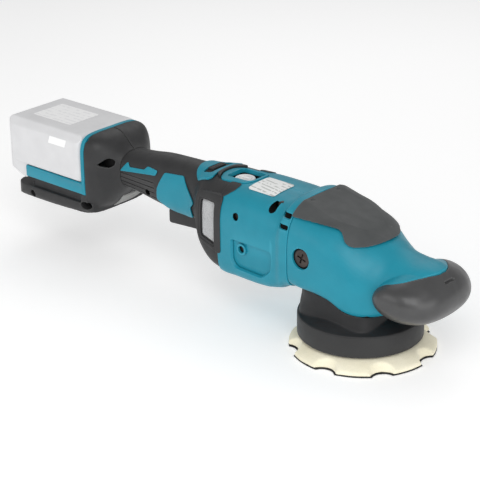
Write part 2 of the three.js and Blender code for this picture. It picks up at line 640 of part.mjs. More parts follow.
function casings() {
  const dialHole = planPrism(DIAL_FRAME_OUTLINE, 9, [100, 140]);
  const outside = body(HOUSING_SECTIONS, HANDLE_SEAM, HEAD_SEAM);
  const inside = body(HOUSING_SECTIONS, HANDLE_SEAM - 4, HEAD_SEAM + 4, -WALL);
  const holes = Object.values(SCREW_POINTS).map((point) => screwHole(point));
  const bosses = Object.values(SCREW_POINTS).map(([x, z]) => bar(5, [x, -REACH, z], [x, REACH, z], 16));
  const bossKeep = body(HOUSING_SECTIONS, HANDLE_SEAM, HEAD_SEAM, -0.4);
  const clearOfMotor = turnedOnMotor(disc(34, -130, -40));
  const studs = cut(join(...bosses).intersect(bossKeep), clearOfMotor);
  const pilots = Object.values(SCREW_POINTS).map(([x, z]) => bar(2.2, [x, -1, z], [x, 14, z], 12));
  const housing = cut(join(cut(outside, inside), studs), dialHole, ...holes, ...pilots);
  splitCasing("housing", housing, TEAL);

  const gripOutside = body(HANDLE_SECTIONS, MOUNT_SEAM, HANDLE_SEAM - GAP);
  const gripInside = body(HANDLE_SECTIONS, MOUNT_SEAM - 4, HANDLE_SEAM + 4, -WALL);
  const window = [-REACH, REACH];
  const [lockReach, lockSide] = LOCK_BUTTON.map((size) => size / 2 + 0.5);
  const lockSpan = [LOCK_CENTRE - lockReach, LOCK_CENTRE + lockReach];
  const lockHole = block(lockSpan, [-lockSide, lockSide], [100, 130]);
  const handle = cut(
    cut(gripOutside, gripInside),
    dialHole,
    sidePrism(INTAKE_WINDOW, 3, window),
    block([-213, -153], TRIGGER_SLOT, [50, 80]),
    lockHole,
    screwHole(HANDLE_SCREW),
  );
  splitCasing("handle", handle, ELASTOMER);

  for (const [name, side] of Object.entries(SIDES)) {
    const reach = side < 0 ? [-REACH, 0] : [0, REACH];
    const layer = (low, high) =>
      cut(body(HANDLE_SECTIONS, -266, HANDLE_SEAM - GAP, high), body(HANDLE_SECTIONS, -270, -120, low));
    const panel = layer(GAP, 1.5).intersect(sidePrism(SWITCH_PANEL_OUTLINE, 4, reach));
    add("switch_panel_" + name, cut(panel, block([-230, -150], TRIGGER_SLOT, [50, 80])), TEAL);
    add("grip_insert_" + name, layer(GAP, 1.1).intersect(sidePrism(GRIP_INSERT_OUTLINE, 2, reach)), TEAL);
    const frame = layer(GAP, 3.2).intersect(sidePrism(INTAKE_OUTLINE, 5, reach));
    const opening = sidePrism(INTAKE_WINDOW, 3, reach);
    add("intake_frame_" + name, cut(frame, opening), ELASTOMER);
    const screen = layer(-1.2, -0.2).intersect(opening);
    add("intake_mesh_" + name, shrinkToward(screen, INTAKE_CENTRE, 0.97), MESH);
  }

  const collarLayer = cut(body(HANDLE_SECTIONS, -190, -140, 2), body(HANDLE_SECTIONS, -194, -136, GAP));
  const collar = collarLayer.intersect(planPrism(COLLAR_OUTLINE, 8, [100, 140]));
  add("lock_collar", cut(collar, lockHole), TEAL);
  const [lockLength, lockWidth] = LOCK_BUTTON.map((size) => size / 2);
  const lockX = [LOCK_CENTRE - lockLength, LOCK_CENTRE + lockLength];
  add("lock_button", block(lockX, [-lockWidth, lockWidth], [111, 122.6]), BLACK);

  const dialSkin = cut(body(HOUSING_SECTIONS, -156, -100, 1), body(HOUSING_SECTIONS, -158, -98, -3));
  const dialOutline = shrinkOutline(DIAL_FRAME_OUTLINE, DIAL_CENTRE, 0.975);
  const dialPlate = dialSkin.intersect(planPrism(dialOutline, 9, [100, 140]));
  const dialWindow = turned(disc(DIAL_RADIUS + 0.5, 100, 140), DIAL_CENTRE, 32);
  add("dial_frame", cut(dialPlate, dialWindow), TEAL);
  const pointer = block([-136, -119], [-0.8, 0.8], [117, 118.6]);
  add("speed_dial", join(turned(disc(DIAL_RADIUS, 110, 117.6), DIAL_CENTRE, 32), pointer), LABEL);

  const labelSkin = cut(body(HOUSING_SECTIONS, -112, -60, 0.9), body(HOUSING_SECTIONS, -114, -58, GAP));
  add("rating_label", labelSkin.intersect(planPrism(LABEL_OUTLINE, 3, [100, 140])), LABEL);

  // The front screw joins the two housing halves; the other two are short and reach the motor's casing.
  for (const [name, [x, z]] of Object.entries(SCREW_POINTS)) {
    const rise = z - MOTOR_HEIGHT;
    const tip = name === "front" ? 12 : -Math.sqrt(STATOR_RADIUS ** 2 - rise ** 2) - 0.8;
    const headAt = name === "front" ? -21 : -33.5;
    const shank = bar(1.9, [x, headAt - 1, z], [x, tip, z], 10);
    const head = bar(3, [x, headAt - 3, z], [x, headAt, z], 14);
    add("housing_screw_" + name, join(shank, head), DARK_SCREW);
  }
}

// Brings a solid in slightly towards a point, to leave clearance all round it.
function shrinkToward(manifold, [x, y, z], factor) {
  return manifold.translate([-x, -y, -z]).scale([factor, 1, factor]).translate([x, y, z]);
}

function shrinkOutline(points, centre, factor) {
  return points.map(([x, y]) => [centre + (x - centre) * factor, y * factor]);
}

// ---- trigger, on a pivot at its front end, with its return spring
function trigger() {
  add("trigger", sidePrism(TRIGGER_OUTLINE, 3, [-10, 10]), ELASTOMER);
  const points = [];
  for (let i = 0; i <= SPRING_TURNS * 10; i += 1) {
    const angle = (i / 10) * 2 * Math.PI;
    const z = 74.4 + (7.2 * i) / (SPRING_TURNS * 10);
    const [x, y] = [SPRING_X + SPRING_RADIUS * Math.cos(angle), SPRING_RADIUS * Math.sin(angle)];
    points.push(new THREE.Vector3(x, y, z));
  }
  const wire = new THREE.Shape();
  wire.absarc(0, 0, 0.5, 0, Math.PI * 2);
  const extrudePath = new THREE.CatmullRomCurve3(points);
  const options = { steps: SPRING_TURNS * 8, extrudePath, curveSegments: 2, bevelEnabled: false };
  add("trigger_spring", solid(new THREE.ExtrudeGeometry(wire, options)), STEEL);
}

// ---- head: cover, bumper, nose grip, neck and skirt
function noseBody() {
  const otherSide = NOSE_SECTIONS.slice(1).reverse().map(([y, ...rest]) => [-y, ...rest]);
  const stations = [...otherSide, ...NOSE_SECTIONS];
  const rings = stations.map(([y, rear, front, bottom, top]) => {
    const points = [];
    for (let i = 0; i < 20; i += 1) {
      const angle = ((i + 0.5) / 20) * 2 * Math.PI;
      const x = (rear + front) / 2 + ((front - rear) / 2) * Math.cos(angle);
      const z = (top + bottom) / 2 + ((top - bottom) / 2) * Math.sin(angle);
      points.push([x, y, z]);
    }
    return points;
  });
  return loft(rings);
}

function head() {
  const outside = body(HEAD_SECTIONS, HEAD_SEAM + GAP, 86);
  const inside = body(HEAD_SECTIONS, HEAD_SEAM - 4, 76, -WALL);
  const openBelow = block([-60, 33], [-34, 34], [20, 66]);
  const [x, z] = HEAD_SCREW;
  const sides = Object.values(SIDES);
  const round = (radius, from, to) =>
    sides.map((side) => bar(radius, [x, side * from, z], [x, side * to, z], 28));
  const wells = round(HEAD_SCREW_RADIUS + 0.9, 39.5, 60);
  const wellWalls = round(HEAD_SCREW_RADIUS + 3, 37, 44);
  const bore = bar(2.6, [x, -60, z], [x, 60, z], 16);
  const shell = join(cut(outside, inside), join(...wellWalls).intersect(outside));
  add("head_cover", cut(shell, openBelow, ...wells, bore), TEAL);
  for (const [name, side] of Object.entries(SIDES)) {
    const screwHead = bar(HEAD_SCREW_RADIUS, [x, side * 39.8, z], [x, side * HEAD_SCREW_FACE, z], 28);
    const shank = bar(2.3, [x, side * 31, z], [x, side * 41, z], 16);
    const slot = block([-4.2, 4.2], [-1.6, 1.6], [-0.9, 0.9]);
    const face = [x, side * HEAD_SCREW_FACE, z];
    const recess = [20, 110].map((turn) => slot.rotate([0, turn, 0]).translate(face));
    add("head_screw_" + name, cut(join(screwHead, shank), ...recess), DARK_SCREW);
  }

  const bumperOutside = body(HEAD_SECTIONS, HEAD_SEAM + GAP, 60, 2);
  const bumperLayer = cut(bumperOutside, body(HEAD_SECTIONS, HEAD_SEAM - 3, 64, GAP));
  add("head_bumper", bumperLayer.intersect(sidePrism(BUMPER_OUTLINE, 6, [-REACH, REACH])), ELASTOMER);
  add("nose_grip", largest(cut(noseBody(), body(HEAD_SECTIONS, -20, 86 + GAP, GAP))), ELASTOMER);

  // The neck is squarer at the top, where it enters the cover, and round where it meets the skirt.
  const neckRing = (z, rear, front, half, square) => {
    const points = [];
    for (let i = 0; i < SECTION_POINTS; i += 1) {
      const angle = ((i + 0.5) / SECTION_POINTS) * 2 * Math.PI;
      const reach = Math.cos(angle) > 0 ? front : rear;
      const x = reach * power(Math.cos(angle), 2 / square);
      points.push([x, half * power(Math.sin(angle), 2 / square), z]);
    }
    return points;
  };
  const neckOutside = loft([
    neckRing(SKIRT_TOP + GAP, 50.5, 40, 50, 2.1),
    neckRing(34, 48.6, 38, 47, 2.3),
    neckRing(40, 47, 36.6, 45, 2.5),
    neckRing(48.5, 46, 36, 43.6, 2.7),
    neckRing(56, 45, 35.4, 42.6, 2.8),
  ]);
  const neckInside = loft([
    neckRing(20, 46.5, 36.5, 46, 2.1),
    neckRing(36, 45, 35, 43.5, 2.3),
    neckRing(46, 43.5, 33.6, 41.5, 2.6),
    neckRing(60, 42, 32.6, 39.6, 2.8),
  ]);
  const casingAbove = body(HEAD_SECTIONS, HEAD_SEAM, 80, GAP);
  const housingAbove = body(HOUSING_SECTIONS, -100, HEAD_SEAM + 1, GAP);
  add("neck_cover", largest(cut(neckOutside, neckInside, casingAbove, housingAbove)), ELASTOMER);

  const skirtProfile = [
    [SKIRT_RADIUS - 3.4, SKIRT_BOTTOM],
    [SKIRT_RADIUS, SKIRT_BOTTOM],
    [SKIRT_RADIUS, SKIRT_TOP - 2.4],
    [SKIRT_RADIUS - 2.4, SKIRT_TOP],
    [41, SKIRT_TOP],
    [41, SKIRT_TOP - 3],
    [SKIRT_RADIUS - 3.4, SKIRT_TOP - 4],
    [SKIRT_RADIUS - 3.4, SKIRT_BOTTOM],
  ];
  add("skirt_ring", turned(skirtProfile, 0, 40), ELASTOMER);
}

// The largest body of a solid, which drops slivers that a cut leaves.
function largest(manifold) {
  return manifold.decompose().sort((a, b) => b.volume() - a.volume())[0];
}

// ---- battery mount: dark outer mouldings, and the cradle that the battery slides on
function batteryMount() {
  const shroud = body(MOUNT_SECTIONS, MOUNT_FACE, MOUNT_SEAM - GAP);
  const hollow = body(MOUNT_SECTIONS, MOUNT_FACE - 4, MOUNT_SEAM + 3, -WALL);
  const footPlan = planPrism(rectangle([-388, -280], [-38.4, 38.4]), 16, [0, 100]);
  const foot = body(FOOT_SECTIONS, -388, -284).intersect(footPlan);
  const footHollow = planPrism(rectangle([-384, -296], [-34.4, 34.4]), 13, [51, 60], 3);
  const band = planPrism(rectangle([-368, -288], [-34, 34]), 6, [62, RAIL_BOTTOM - GAP]);
  const bandHollow = planPrism(rectangle([-365, -292], [-31, 31]), 4, [58, RAIL_BOTTOM + 2]);
  const clearOfShroud = block([MOUNT_FACE + WALL, -200], [-36, 36], [52, 124]);
  const faceOpening = block([-300, MOUNT_FACE + 6], [-34.5, 34.5], [66, 124.5]);
  const edgeSeat = body(MOUNT_SECTIONS, MOUNT_FACE - 1, MOUNT_FACE + 4.3, 1);
  const mount = cut(
    join(cut(shroud, hollow), foot, band),
    footHollow,
    bandHollow,
    hollow.intersect(clearOfShroud),
    faceOpening,
    edgeSeat.intersect(block([-300, -280], [-60, 60], [RAIL_BOTTOM, 140])),
    screwHole(MOUNT_SCREW, 4),
    ...FOOT_HOLES.map((point) => screwHole(point)),
  );
  splitCasing("battery_mount", mount, ELASTOMER);

  const edge = body(MOUNT_SECTIONS, MOUNT_FACE, MOUNT_FACE + 4);
  const edgeAbove = edge.intersect(block([-300, -280], [-60, 60], [RAIL_BOTTOM + GAP, 140]));
  const edgeHole = block([-300, -280], [-20, 20], [84, 106]);
  const railHeight = [RAIL_BOTTOM + GAP, RAIL_TOP - GAP];
  const rail = block([RAIL_REAR, MOUNT_FACE + 1], RAIL_SPAN, railHeight);
  const floor = block([RAIL_REAR, MOUNT_FACE + 1], [-36, 36], [RAIL_BOTTOM + GAP, 74]);
  splitCasing("cradle", cut(join(edgeAbove, floor, rail, mirrored(rail)), edgeHole), TEAL);
}

// A prism whose outline lies across the tool (y, z), between two values of x.
function crossPrism(points, radius, [near, far]) {
  const options = { depth: far - near, bevelEnabled: false, curveSegments: 3 };
  const prism = new THREE.ExtrudeGeometry(roundedShape(points, radius), options);
  return solid(prism.rotateX(Math.PI / 2).rotateZ(Math.PI / 2).translate(near, 0, 0));
}

function battery() {
  const front = MOUNT_FACE - GAP;
  const side = BATTERY_HALF_WIDTH;
  const section = [
    [-side, RAIL_TOP],
    [-side, 119],
    [-side + 5, BATTERY_TOP],
    [side - 5, BATTERY_TOP],
    [side, 119],
    [side, RAIL_TOP],
    [33.8, RAIL_TOP],
    [33.8, 74.4],
    [-33.8, 74.4],
    [-33.8, RAIL_TOP],
  ];
  const plan = planPrism(rectangle([BATTERY_REAR, front], [-side, side]), 7, [60, 140]);
  const chinOutline = [
    [BATTERY_REAR + 1, 90],
    [BATTERY_REAR + 2, 76],
    [BATTERY_REAR + 20, 68.6],
    [RAIL_REAR - 0.6, 68.6],
    [RAIL_REAR - 0.6, 90],
  ];
  const chin = sidePrism(chinOutline, 2, [-side + 0.6, side - 0.6]);
  const sideView = [
    [BATTERY_REAR, 60],
    [front, 60],
    [front, BATTERY_TOP],
    [BATTERY_REAR + 2, BATTERY_TOP],
    [BATTERY_REAR, BATTERY_TOP - 6],
  ];
  const roundedRear = sidePrism(sideView, 7, [-REACH, REACH]);
  const cellSpace = [RAIL_TOP + 3, BATTERY_TOP - 5];
  const inside = block([BATTERY_REAR + 9, front - 3], [-side + 3, side - 3], cellSpace);
  const contacts = block([front - 14, front + 2], [-15, 15], [88, 100]);
  const buttonSeat = block([BATTERY_REAR - 2, BATTERY_REAR + 6.5], [-15.5, 15.5], [94, 111.5]);
  const moulded = join(crossPrism(section, 0.6, [BATTERY_REAR, front]), chin);
  const rounded = moulded.intersect(plan).intersect(roundedRear);
  add("battery_case", cut(rounded, inside, contacts, buttonSeat), PALE);

  const cells = [];
  for (let column = 0; column < 5; column += 1) {
    for (const z of [96.5, 112.6]) {
      const x = -378 + column * CELL_PITCH;
      cells.push(bar(CELL_RADIUS, [x, -30, z], [x, 30, z], 8));
    }
  }
  const holder = block([-386, -306], [-33, -29], [88.5, 120.5]);
  add("battery_cells", join(holder, mirrored(holder), ...cells), STEEL);
  add("battery_button", block([BATTERY_REAR + 0.6, BATTERY_REAR + 6], [-15, 15], [97.5, 111]), BLACK);
}

pad();
drive();
motor();
casings();
trigger();
head();
batteryMount();
battery();

export default polisher;
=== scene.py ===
"""Visual model of a cordless dual action polisher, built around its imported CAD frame.

Lengths in the classes are millimetres in the CAD's own frame: the origin is on the drive spindle's
axis at the pad's working face, +X runs to the nose grip, +Z up, and -Y is the operator's right.
"""

import json
import logging
import math
from collections.abc import Iterable, Sequence
from dataclasses import dataclass
from enum import Enum

import bmesh
import bpy
from mathutils import Matrix, Vector

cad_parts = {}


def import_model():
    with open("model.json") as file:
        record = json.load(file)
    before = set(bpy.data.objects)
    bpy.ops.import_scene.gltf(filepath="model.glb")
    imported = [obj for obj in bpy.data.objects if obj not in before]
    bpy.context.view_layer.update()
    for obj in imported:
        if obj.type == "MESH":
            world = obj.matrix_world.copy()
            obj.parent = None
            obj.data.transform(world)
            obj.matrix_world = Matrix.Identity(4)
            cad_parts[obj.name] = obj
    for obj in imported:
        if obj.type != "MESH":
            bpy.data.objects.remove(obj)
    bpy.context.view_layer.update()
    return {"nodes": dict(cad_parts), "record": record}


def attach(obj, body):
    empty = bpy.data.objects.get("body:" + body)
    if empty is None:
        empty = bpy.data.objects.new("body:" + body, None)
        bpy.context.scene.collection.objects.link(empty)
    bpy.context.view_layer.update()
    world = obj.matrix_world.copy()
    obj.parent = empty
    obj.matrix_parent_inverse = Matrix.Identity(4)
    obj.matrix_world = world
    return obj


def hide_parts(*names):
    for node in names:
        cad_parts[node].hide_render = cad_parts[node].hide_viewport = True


Number = int | float
Point2 = tuple[float, float]
Point3 = tuple[float, float, float]
Span = tuple[float, float]
Piece = bpy.types.Object

MM = 0.001
GAP = 0.3  # clearance between mouldings
WALL = 2.6  # moulded casing wall
REACH = 95.0  # longer than any piece is wide, for cutting tools
RING_POINTS = 72  # points round a casing's cross-section
STATION_PITCH = 2.0  # distance between cross-sections of a casing

log = logging.getLogger("polisher")


class Side(Enum):
    """The operator's right and left, as the sign of Y."""

    RIGHT = -1
    LEFT = 1

    @property
    def label(self) -> str:
        """The side's word in the names of nodes."""
        return self.name.lower()


# ---------------------------------------------------------------- workshop: selecting and starting pieces
def focus(piece: Piece) -> None:
    """Selects one piece alone and makes it the active one."""
    bpy.ops.object.select_all(action="DESELECT")
    piece.select_set(True)
    bpy.context.view_layer.objects.active = piece


def metres(point: Iterable[float]) -> Vector:
    """A point given in millimetres, in metres."""
    return Vector([value * MM for value in point])


def outline_piece(name: str, ring: Sequence[Point3]) -> Piece:
    """Starts a piece as a filled circle whose points are moved to a ring.

    Args:
        name: the new object's name.
        ring: the points of the closed outline, in millimetres.

    Returns:
        The new object, with one face.
    """
    bpy.ops.object.select_all(action="DESELECT")
    bpy.ops.mesh.primitive_circle_add(vertices=len(ring), radius=MM, fill_type="NGON")
    piece = bpy.context.object
    piece.name = name
    for vertex, point in zip(piece.data.vertices, ring):
        vertex.co = metres(point)
    return piece


def tidy_normals(piece: Piece, merge: float = 1e-6) -> None:
    """Merges doubled points and turns every face outwards."""
    focus(piece)
    bpy.ops.object.mode_set(mode="EDIT")
    bpy.ops.mesh.select_all(action="SELECT")
    bpy.ops.mesh.remove_doubles(threshold=merge)
    bpy.ops.mesh.normals_make_consistent(inside=False)
    bpy.ops.object.mode_set(mode="OBJECT")


def loft(name: str, rings: Sequence[Sequence[Point3]]) -> Piece:
    """Extrudes an outline from ring to ring.

    Args:
        name: the new object's name.
        rings: rings with the same number of points, all running the same way round.

    Returns:
        The closed solid.
    """
    piece = outline_piece(name, rings[0])
    bpy.ops.object.mode_set(mode="EDIT")
    bpy.ops.mesh.select_all(action="SELECT")
    for ring in rings[1:]:
        bpy.ops.mesh.extrude_region_move()
        mesh = bmesh.from_edit_mesh(piece.data)
        moving = [vertex for vertex in mesh.verts if vertex.select]
        for vertex, point in zip(moving, ring):
            vertex.co = metres(point)
        bmesh.update_edit_mesh(piece.data)
    bpy.ops.object.mode_set(mode="OBJECT")
    tidy_normals(piece)
    return piece


def rounded(points: Sequence[Point2], radius: float, steps: int = 5) -> list[Point2]:
    """The outline with each corner replaced by a curve.

    Args:
        points: the corners.
        radius: how far from a corner its curve starts.
        steps: points on each curve.

    Returns:
        The points of the rounded outline.
    """
    made: list[Point2] = []
    for i, corner in enumerate(points):
        here = Vector(corner)
        before = Vector(points[i - 1]) - here
        after = Vector(points[(i + 1) % len(points)]) - here
        reach = min(radius, before.length / 2.1, after.length / 2.1)
        start = here + before.normalized() * reach
        end = here + after.normalized() * reach
        for k in range(steps + 1):
            t = k / steps
            spot = start * (1 - t) ** 2 + here * (2 * t * (1 - t)) + end * t**2
            made.append((spot.x, spot.y))
    return made


def side_prism(name: str, points: Sequence[Point2], radius: float, span: Span) -> Piece:
    """A prism whose outline lies in side view (x, z), between two values of y."""
    shape = rounded(points, radius)
    return loft(name, [[(x, y, z) for x, z in shape] for y in span])


def plan_prism(name: str, points: Sequence[Point2], radius: float, span: Span) -> Piece:
    """A prism whose outline lies in plan (x, y), between two heights."""
    shape = rounded(points, radius)
    return loft(name, [[(x, y, z) for x, y in shape] for z in span])


def rectangle(x: Span, y: Span) -> list[Point2]:
    """The four corners of a rectangle."""
    return [(x[0], y[0]), (x[1], y[0]), (x[1], y[1]), (x[0], y[1])]


def block(name: str, x: Span, y: Span, z: Span) -> Piece:
    """A box between two values on each axis."""
    bpy.ops.object.select_all(action="DESELECT")
    centre = metres([(a + b) / 2 for a, b in (x, y, z)])
    bpy.ops.mesh.primitive_cube_add(size=1, location=centre)
    piece = bpy.context.object
    piece.name = name
    piece.scale = metres([b - a for a, b in (x, y, z)])
    bpy.ops.object.transform_apply(location=True, rotation=True, scale=True)
    return piece


def rod(name: str, radius: float, start: Point3, end: Point3, sides: int = 32, tip: float | None = None) -> Piece:
    """A round bar from one point to another.

    Args:
        name: the new object's name.
        radius: radius at the start.
        start: centre of the first end.
        end: centre of the second end.
        sides: facets round the bar.
        tip: radius at the end, when it differs.

    Returns:
        The closed solid.
    """
    along = metres(end) - metres(start)
    turn = along.to_track_quat("Z", "Y").to_euler()
    bpy.ops.object.select_all(action="DESELECT")
    bpy.ops.mesh.primitive_cone_add(
        vertices=sides,
        radius1=radius * MM,
        radius2=(radius if tip is None else tip) * MM,
        depth=along.length,
        location=metres(start) + along / 2,
        rotation=turn,
    )
    piece = bpy.context.object
    piece.name = name
    bpy.ops.object.transform_apply(location=True, rotation=True, scale=True)
    return piece


def spun(name: str, profile: Sequence[Point2], x: float = 0.0, steps: int = 96) -> Piece:
    """Spins a closed profile about a vertical axis.

    Args:
        name: the new object's name.
        profile: (radius, height) pairs round the closed profile.
        x: where the axis stands.
        steps: facets round the piece.

    Returns:
        The closed solid.
    """
    piece = outline_piece(name, [(x + radius, 0.0, height) for radius, height in profile])
    bpy.ops.object.mode_set(mode="EDIT")
    bpy.ops.mesh.select_all(action="SELECT")
    bpy.ops.mesh.delete(type="ONLY_FACE")
    bpy.ops.mesh.select_all(action="SELECT")
    bpy.ops.mesh.spin(steps=steps, angle=math.tau, center=metres((x, 0, 0)), axis=(0, 0, 1))
    bpy.ops.object.mode_set(mode="OBJECT")
    tidy_normals(piece, merge=2e-6)
    return piece


# ---------------------------------------------------------------- workshop: cutting and finishing
def combine(piece: Piece, tools: Sequence[Piece], operation: str) -> Piece:
    """Applies a boolean with each tool and removes the tools.

    Args:
        piece: the solid worked on.
        tools: the solids that cut it or join it.
        operation: DIFFERENCE, UNION or INTERSECT.

    Returns:
        The same piece.
    """
    for tool in tools:
        focus(piece)
        cutter = piece.modifiers.new("cut", "BOOLEAN")
        cutter.operation = operation
        cutter.object = tool
        cutter.solver = "EXACT"
        bpy.ops.object.modifier_apply(modifier=cutter.name)
        bpy.data.objects.remove(tool)
    return piece


def cut(piece: Piece, *tools: Piece) -> Piece:
    """Cuts the tools out of a piece."""
    return combine(piece, tools, "DIFFERENCE")


def join(piece: Piece, *tools: Piece) -> Piece:
    """Joins the tools to a piece."""
    return combine(piece, tools, "UNION")


def keep(piece: Piece, *tools: Piece) -> Piece:
    """Keeps what lies inside each tool."""
    return combine(piece, tools, "INTERSECT")


def copy_of(piece: Piece, name: str) -> Piece:
    """A copy with its own mesh."""
    twin = piece.copy()
    twin.data = piece.data.copy()
    twin.name = name
    bpy.context.collection.objects.link(twin)
    return twin


def half_of(piece: Piece, side: Side, name: str) -> Piece:
    """One side of a split moulding, cut on the middle plane and closed.

    Args:
        piece: the whole moulding, which stays as it is.
        side: the side to keep.
        name: the half's name.

    Returns:
        The half, set back from the middle by half of the gap.
    """
    half = copy_of(piece, name)
    focus(half)
    bpy.ops.object.mode_set(mode="EDIT")
    bpy.ops.mesh.select_all(action="SELECT")
    bpy.ops.mesh.bisect(
        plane_co=metres((0, side.value * GAP / 2, 0)),
        plane_no=(0, -side.value, 0),
        use_fill=True,
        clear_outer=True,
    )
    bpy.ops.object.mode_set(mode="OBJECT")
    tidy_normals(half)
    return half


def mirrored(piece: Piece, name: str) -> Piece:
    """A copy of a piece on the other side of the middle plane."""
    twin = copy_of(piece, name)
    twin.data.transform(Matrix.Diagonal((1, -1, 1, 1)))
    tidy_normals(twin)
    return twin


def remould(piece: Piece, grain: float, rounds: int = 5) -> Piece:
    """Rounds every edge of a solid, as a mould does.

    Args:
        piece: the solid.
        grain: size of the new mesh's faces, in millimetres.
        rounds: smoothing passes, each of which rounds the edges a little more.

    Returns:
        The same piece.
    """
    focus(piece)
    remesh = piece.modifiers.new("remesh", "REMESH")
    remesh.mode = "VOXEL"
    remesh.voxel_size = grain * MM
    bpy.ops.object.modifier_apply(modifier=remesh.name)
    smooth = piece.modifiers.new("smooth", "SMOOTH")
    smooth.iterations = rounds
    smooth.factor = 0.5
    bpy.ops.object.modifier_apply(modifier=smooth.name)
    return piece


def thin_out(piece: Piece, share: float) -> Piece:
    """Keeps a share of a dense mesh's faces where it is flat."""
    focus(piece)
    fewer = piece.modifiers.new("fewer", "DECIMATE")
    fewer.ratio = share
    bpy.ops.object.modifier_apply(modifier=fewer.name)
    return piece


def bevelled(piece: Piece, width: float, segments: int = 3, angle: float = 40) -> Piece:
    """Rounds the sharp edges of a simple solid."""
    focus(piece)
    edge = piece.modifiers.new("edge", "BEVEL")
    edge.width = width * MM
    edge.segments = segments
    edge.limit_method = "ANGLE"
    edge.angle_limit = math.radians(angle)
    bpy.ops.object.modifier_apply(modifier=edge.name)
    return piece


def ruffle(piece: Piece, size: float, depth: float) -> Piece:
    """Moves the surface in and out a little with a soft noise."""
    focus(piece)
    cloud = bpy.data.textures.new(piece.name + "_noise", "CLOUDS")
    cloud.noise_scale = size * MM
    push = piece.modifiers.new("push", "DISPLACE")
    push.texture = cloud
    push.strength = depth * MM
    push.mid_level = 0.5
    push.texture_coords = "LOCAL"
    bpy.ops.object.modifier_apply(modifier=push.name)
    return piece


def finished(
    piece: Piece, finish: "Finish", body: str, replaces: Sequence[str] = (), angle: float = 35
) -> Piece:
    """Shades a piece, gives it its material, attaches it to its body and hides the CAD nodes that it stands for.

    Args:
        piece: the finished mesh.
        finish: its surface.
        body: the CAD body that it moves with.
        replaces: the CAD nodes that it stands for.
        angle: edges sharper than this stay sharp.

    Returns:
        The same piece.
    """
    focus(piece)
    bpy.ops.object.shade_smooth_by_angle(angle=math.radians(angle))
    piece.data.materials.clear()
    piece.data.materials.append(finish.material())
    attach(piece, body)
    if replaces:
        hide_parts(*replaces)
    log.info("%s: %d faces on %s", piece.name, len(piece.data.polygons), body)
    return piece


# ---------------------------------------------------------------- finishes
class Shader:
    """A material's node tree, with short ways to add what the finishes share."""

    def __init__(self, name: str) -> None:
        """Makes an empty principled material."""
        self.made = bpy.data.materials.new(name)
        self.made.use_nodes = True
        self.tree = self.made.node_tree
        self.surface = self.tree.nodes["Principled BSDF"]
        place = self.tree.nodes.new("ShaderNodeTexCoord")
        self.place = place.outputs["Object"]

    def set(self, socket: str, value: float) -> None:
        """Sets a socket of the principled shader to a value that is the same all over."""
        self.surface.inputs[socket].default_value = value

    def link(self, start: bpy.types.NodeSocket, end: bpy.types.NodeSocket) -> None:
        """Joins two sockets."""
        self.tree.links.new(start, end)

    def noise(self, scale: float, detail: float = 3.0) -> bpy.types.NodeSocket:
        """A noise over the object's own coordinates, whose scale is in turns per metre."""
        node = self.tree.nodes.new("ShaderNodeTexNoise")
        node.inputs["Scale"].default_value = scale
        node.inputs["Detail"].default_value = detail
        self.link(self.place, node.inputs["Vector"])
        return node.outputs["Fac"]

    def cells(self, scale: float) -> bpy.types.NodeSocket:
        """The distance to the middle of the nearest cell of a cell pattern."""
        node = self.tree.nodes.new("ShaderNodeTexVoronoi")
        node.inputs["Scale"].default_value = scale
        self.link(self.place, node.inputs["Vector"])
        return node.outputs["Distance"]

    def ramp(self, value: bpy.types.NodeSocket, low: float, high: float, out: Span = (0, 1)) -> bpy.types.NodeSocket:
        """Maps a span of a value to another span."""
        node = self.tree.nodes.new("ShaderNodeMapRange")
        node.inputs["From Min"].default_value = low
        node.inputs["From Max"].default_value = high
        node.inputs["To Min"].default_value = out[0]
        node.inputs["To Max"].default_value = out[1]
        self.link(value, node.inputs["Value"])
        return node.outputs["Result"]

    def blend(self, share: bpy.types.NodeSocket, first: object, second: object) -> bpy.types.NodeSocket:
        """A colour between two, each of which is a colour or a socket."""
        node = self.tree.nodes.new("ShaderNodeMix")
        node.data_type = "RGBA"
        self.link(share, node.inputs["Factor"])
        for name, colour in (("A", first), ("B", second)):
            socket = next(s for s in node.inputs if s.name == name and s.type == "RGBA")
            if isinstance(colour, bpy.types.NodeSocket):
                self.link(colour, socket)
            else:
                socket.default_value = (*colour, 1)
        return next(s for s in node.outputs if s.type == "RGBA")

    def bump(self, height: bpy.types.NodeSocket, depth: float, strength: float = 1.0) -> None:
        """Adds relief of a depth in millimetres on top of the relief that is there."""
        node = self.tree.nodes.new("ShaderNodeBump")
        node.inputs["Distance"].default_value = depth * MM
        node.inputs["Strength"].default_value = strength
        self.link(height, node.inputs["Height"])
        socket = self.surface.inputs["Normal"]
        if socket.is_linked:
            self.link(socket.links[0].from_socket, node.inputs["Normal"])
        self.link(node.outputs["Normal"], socket)

    def edges(self) -> bpy.types.NodeSocket:
        """How much a place stands out as an edge, from 0 to 1."""
        node = self.tree.nodes.new("ShaderNodeNewGeometry")
        return self.ramp(node.outputs["Pointiness"], 0.51, 0.58)


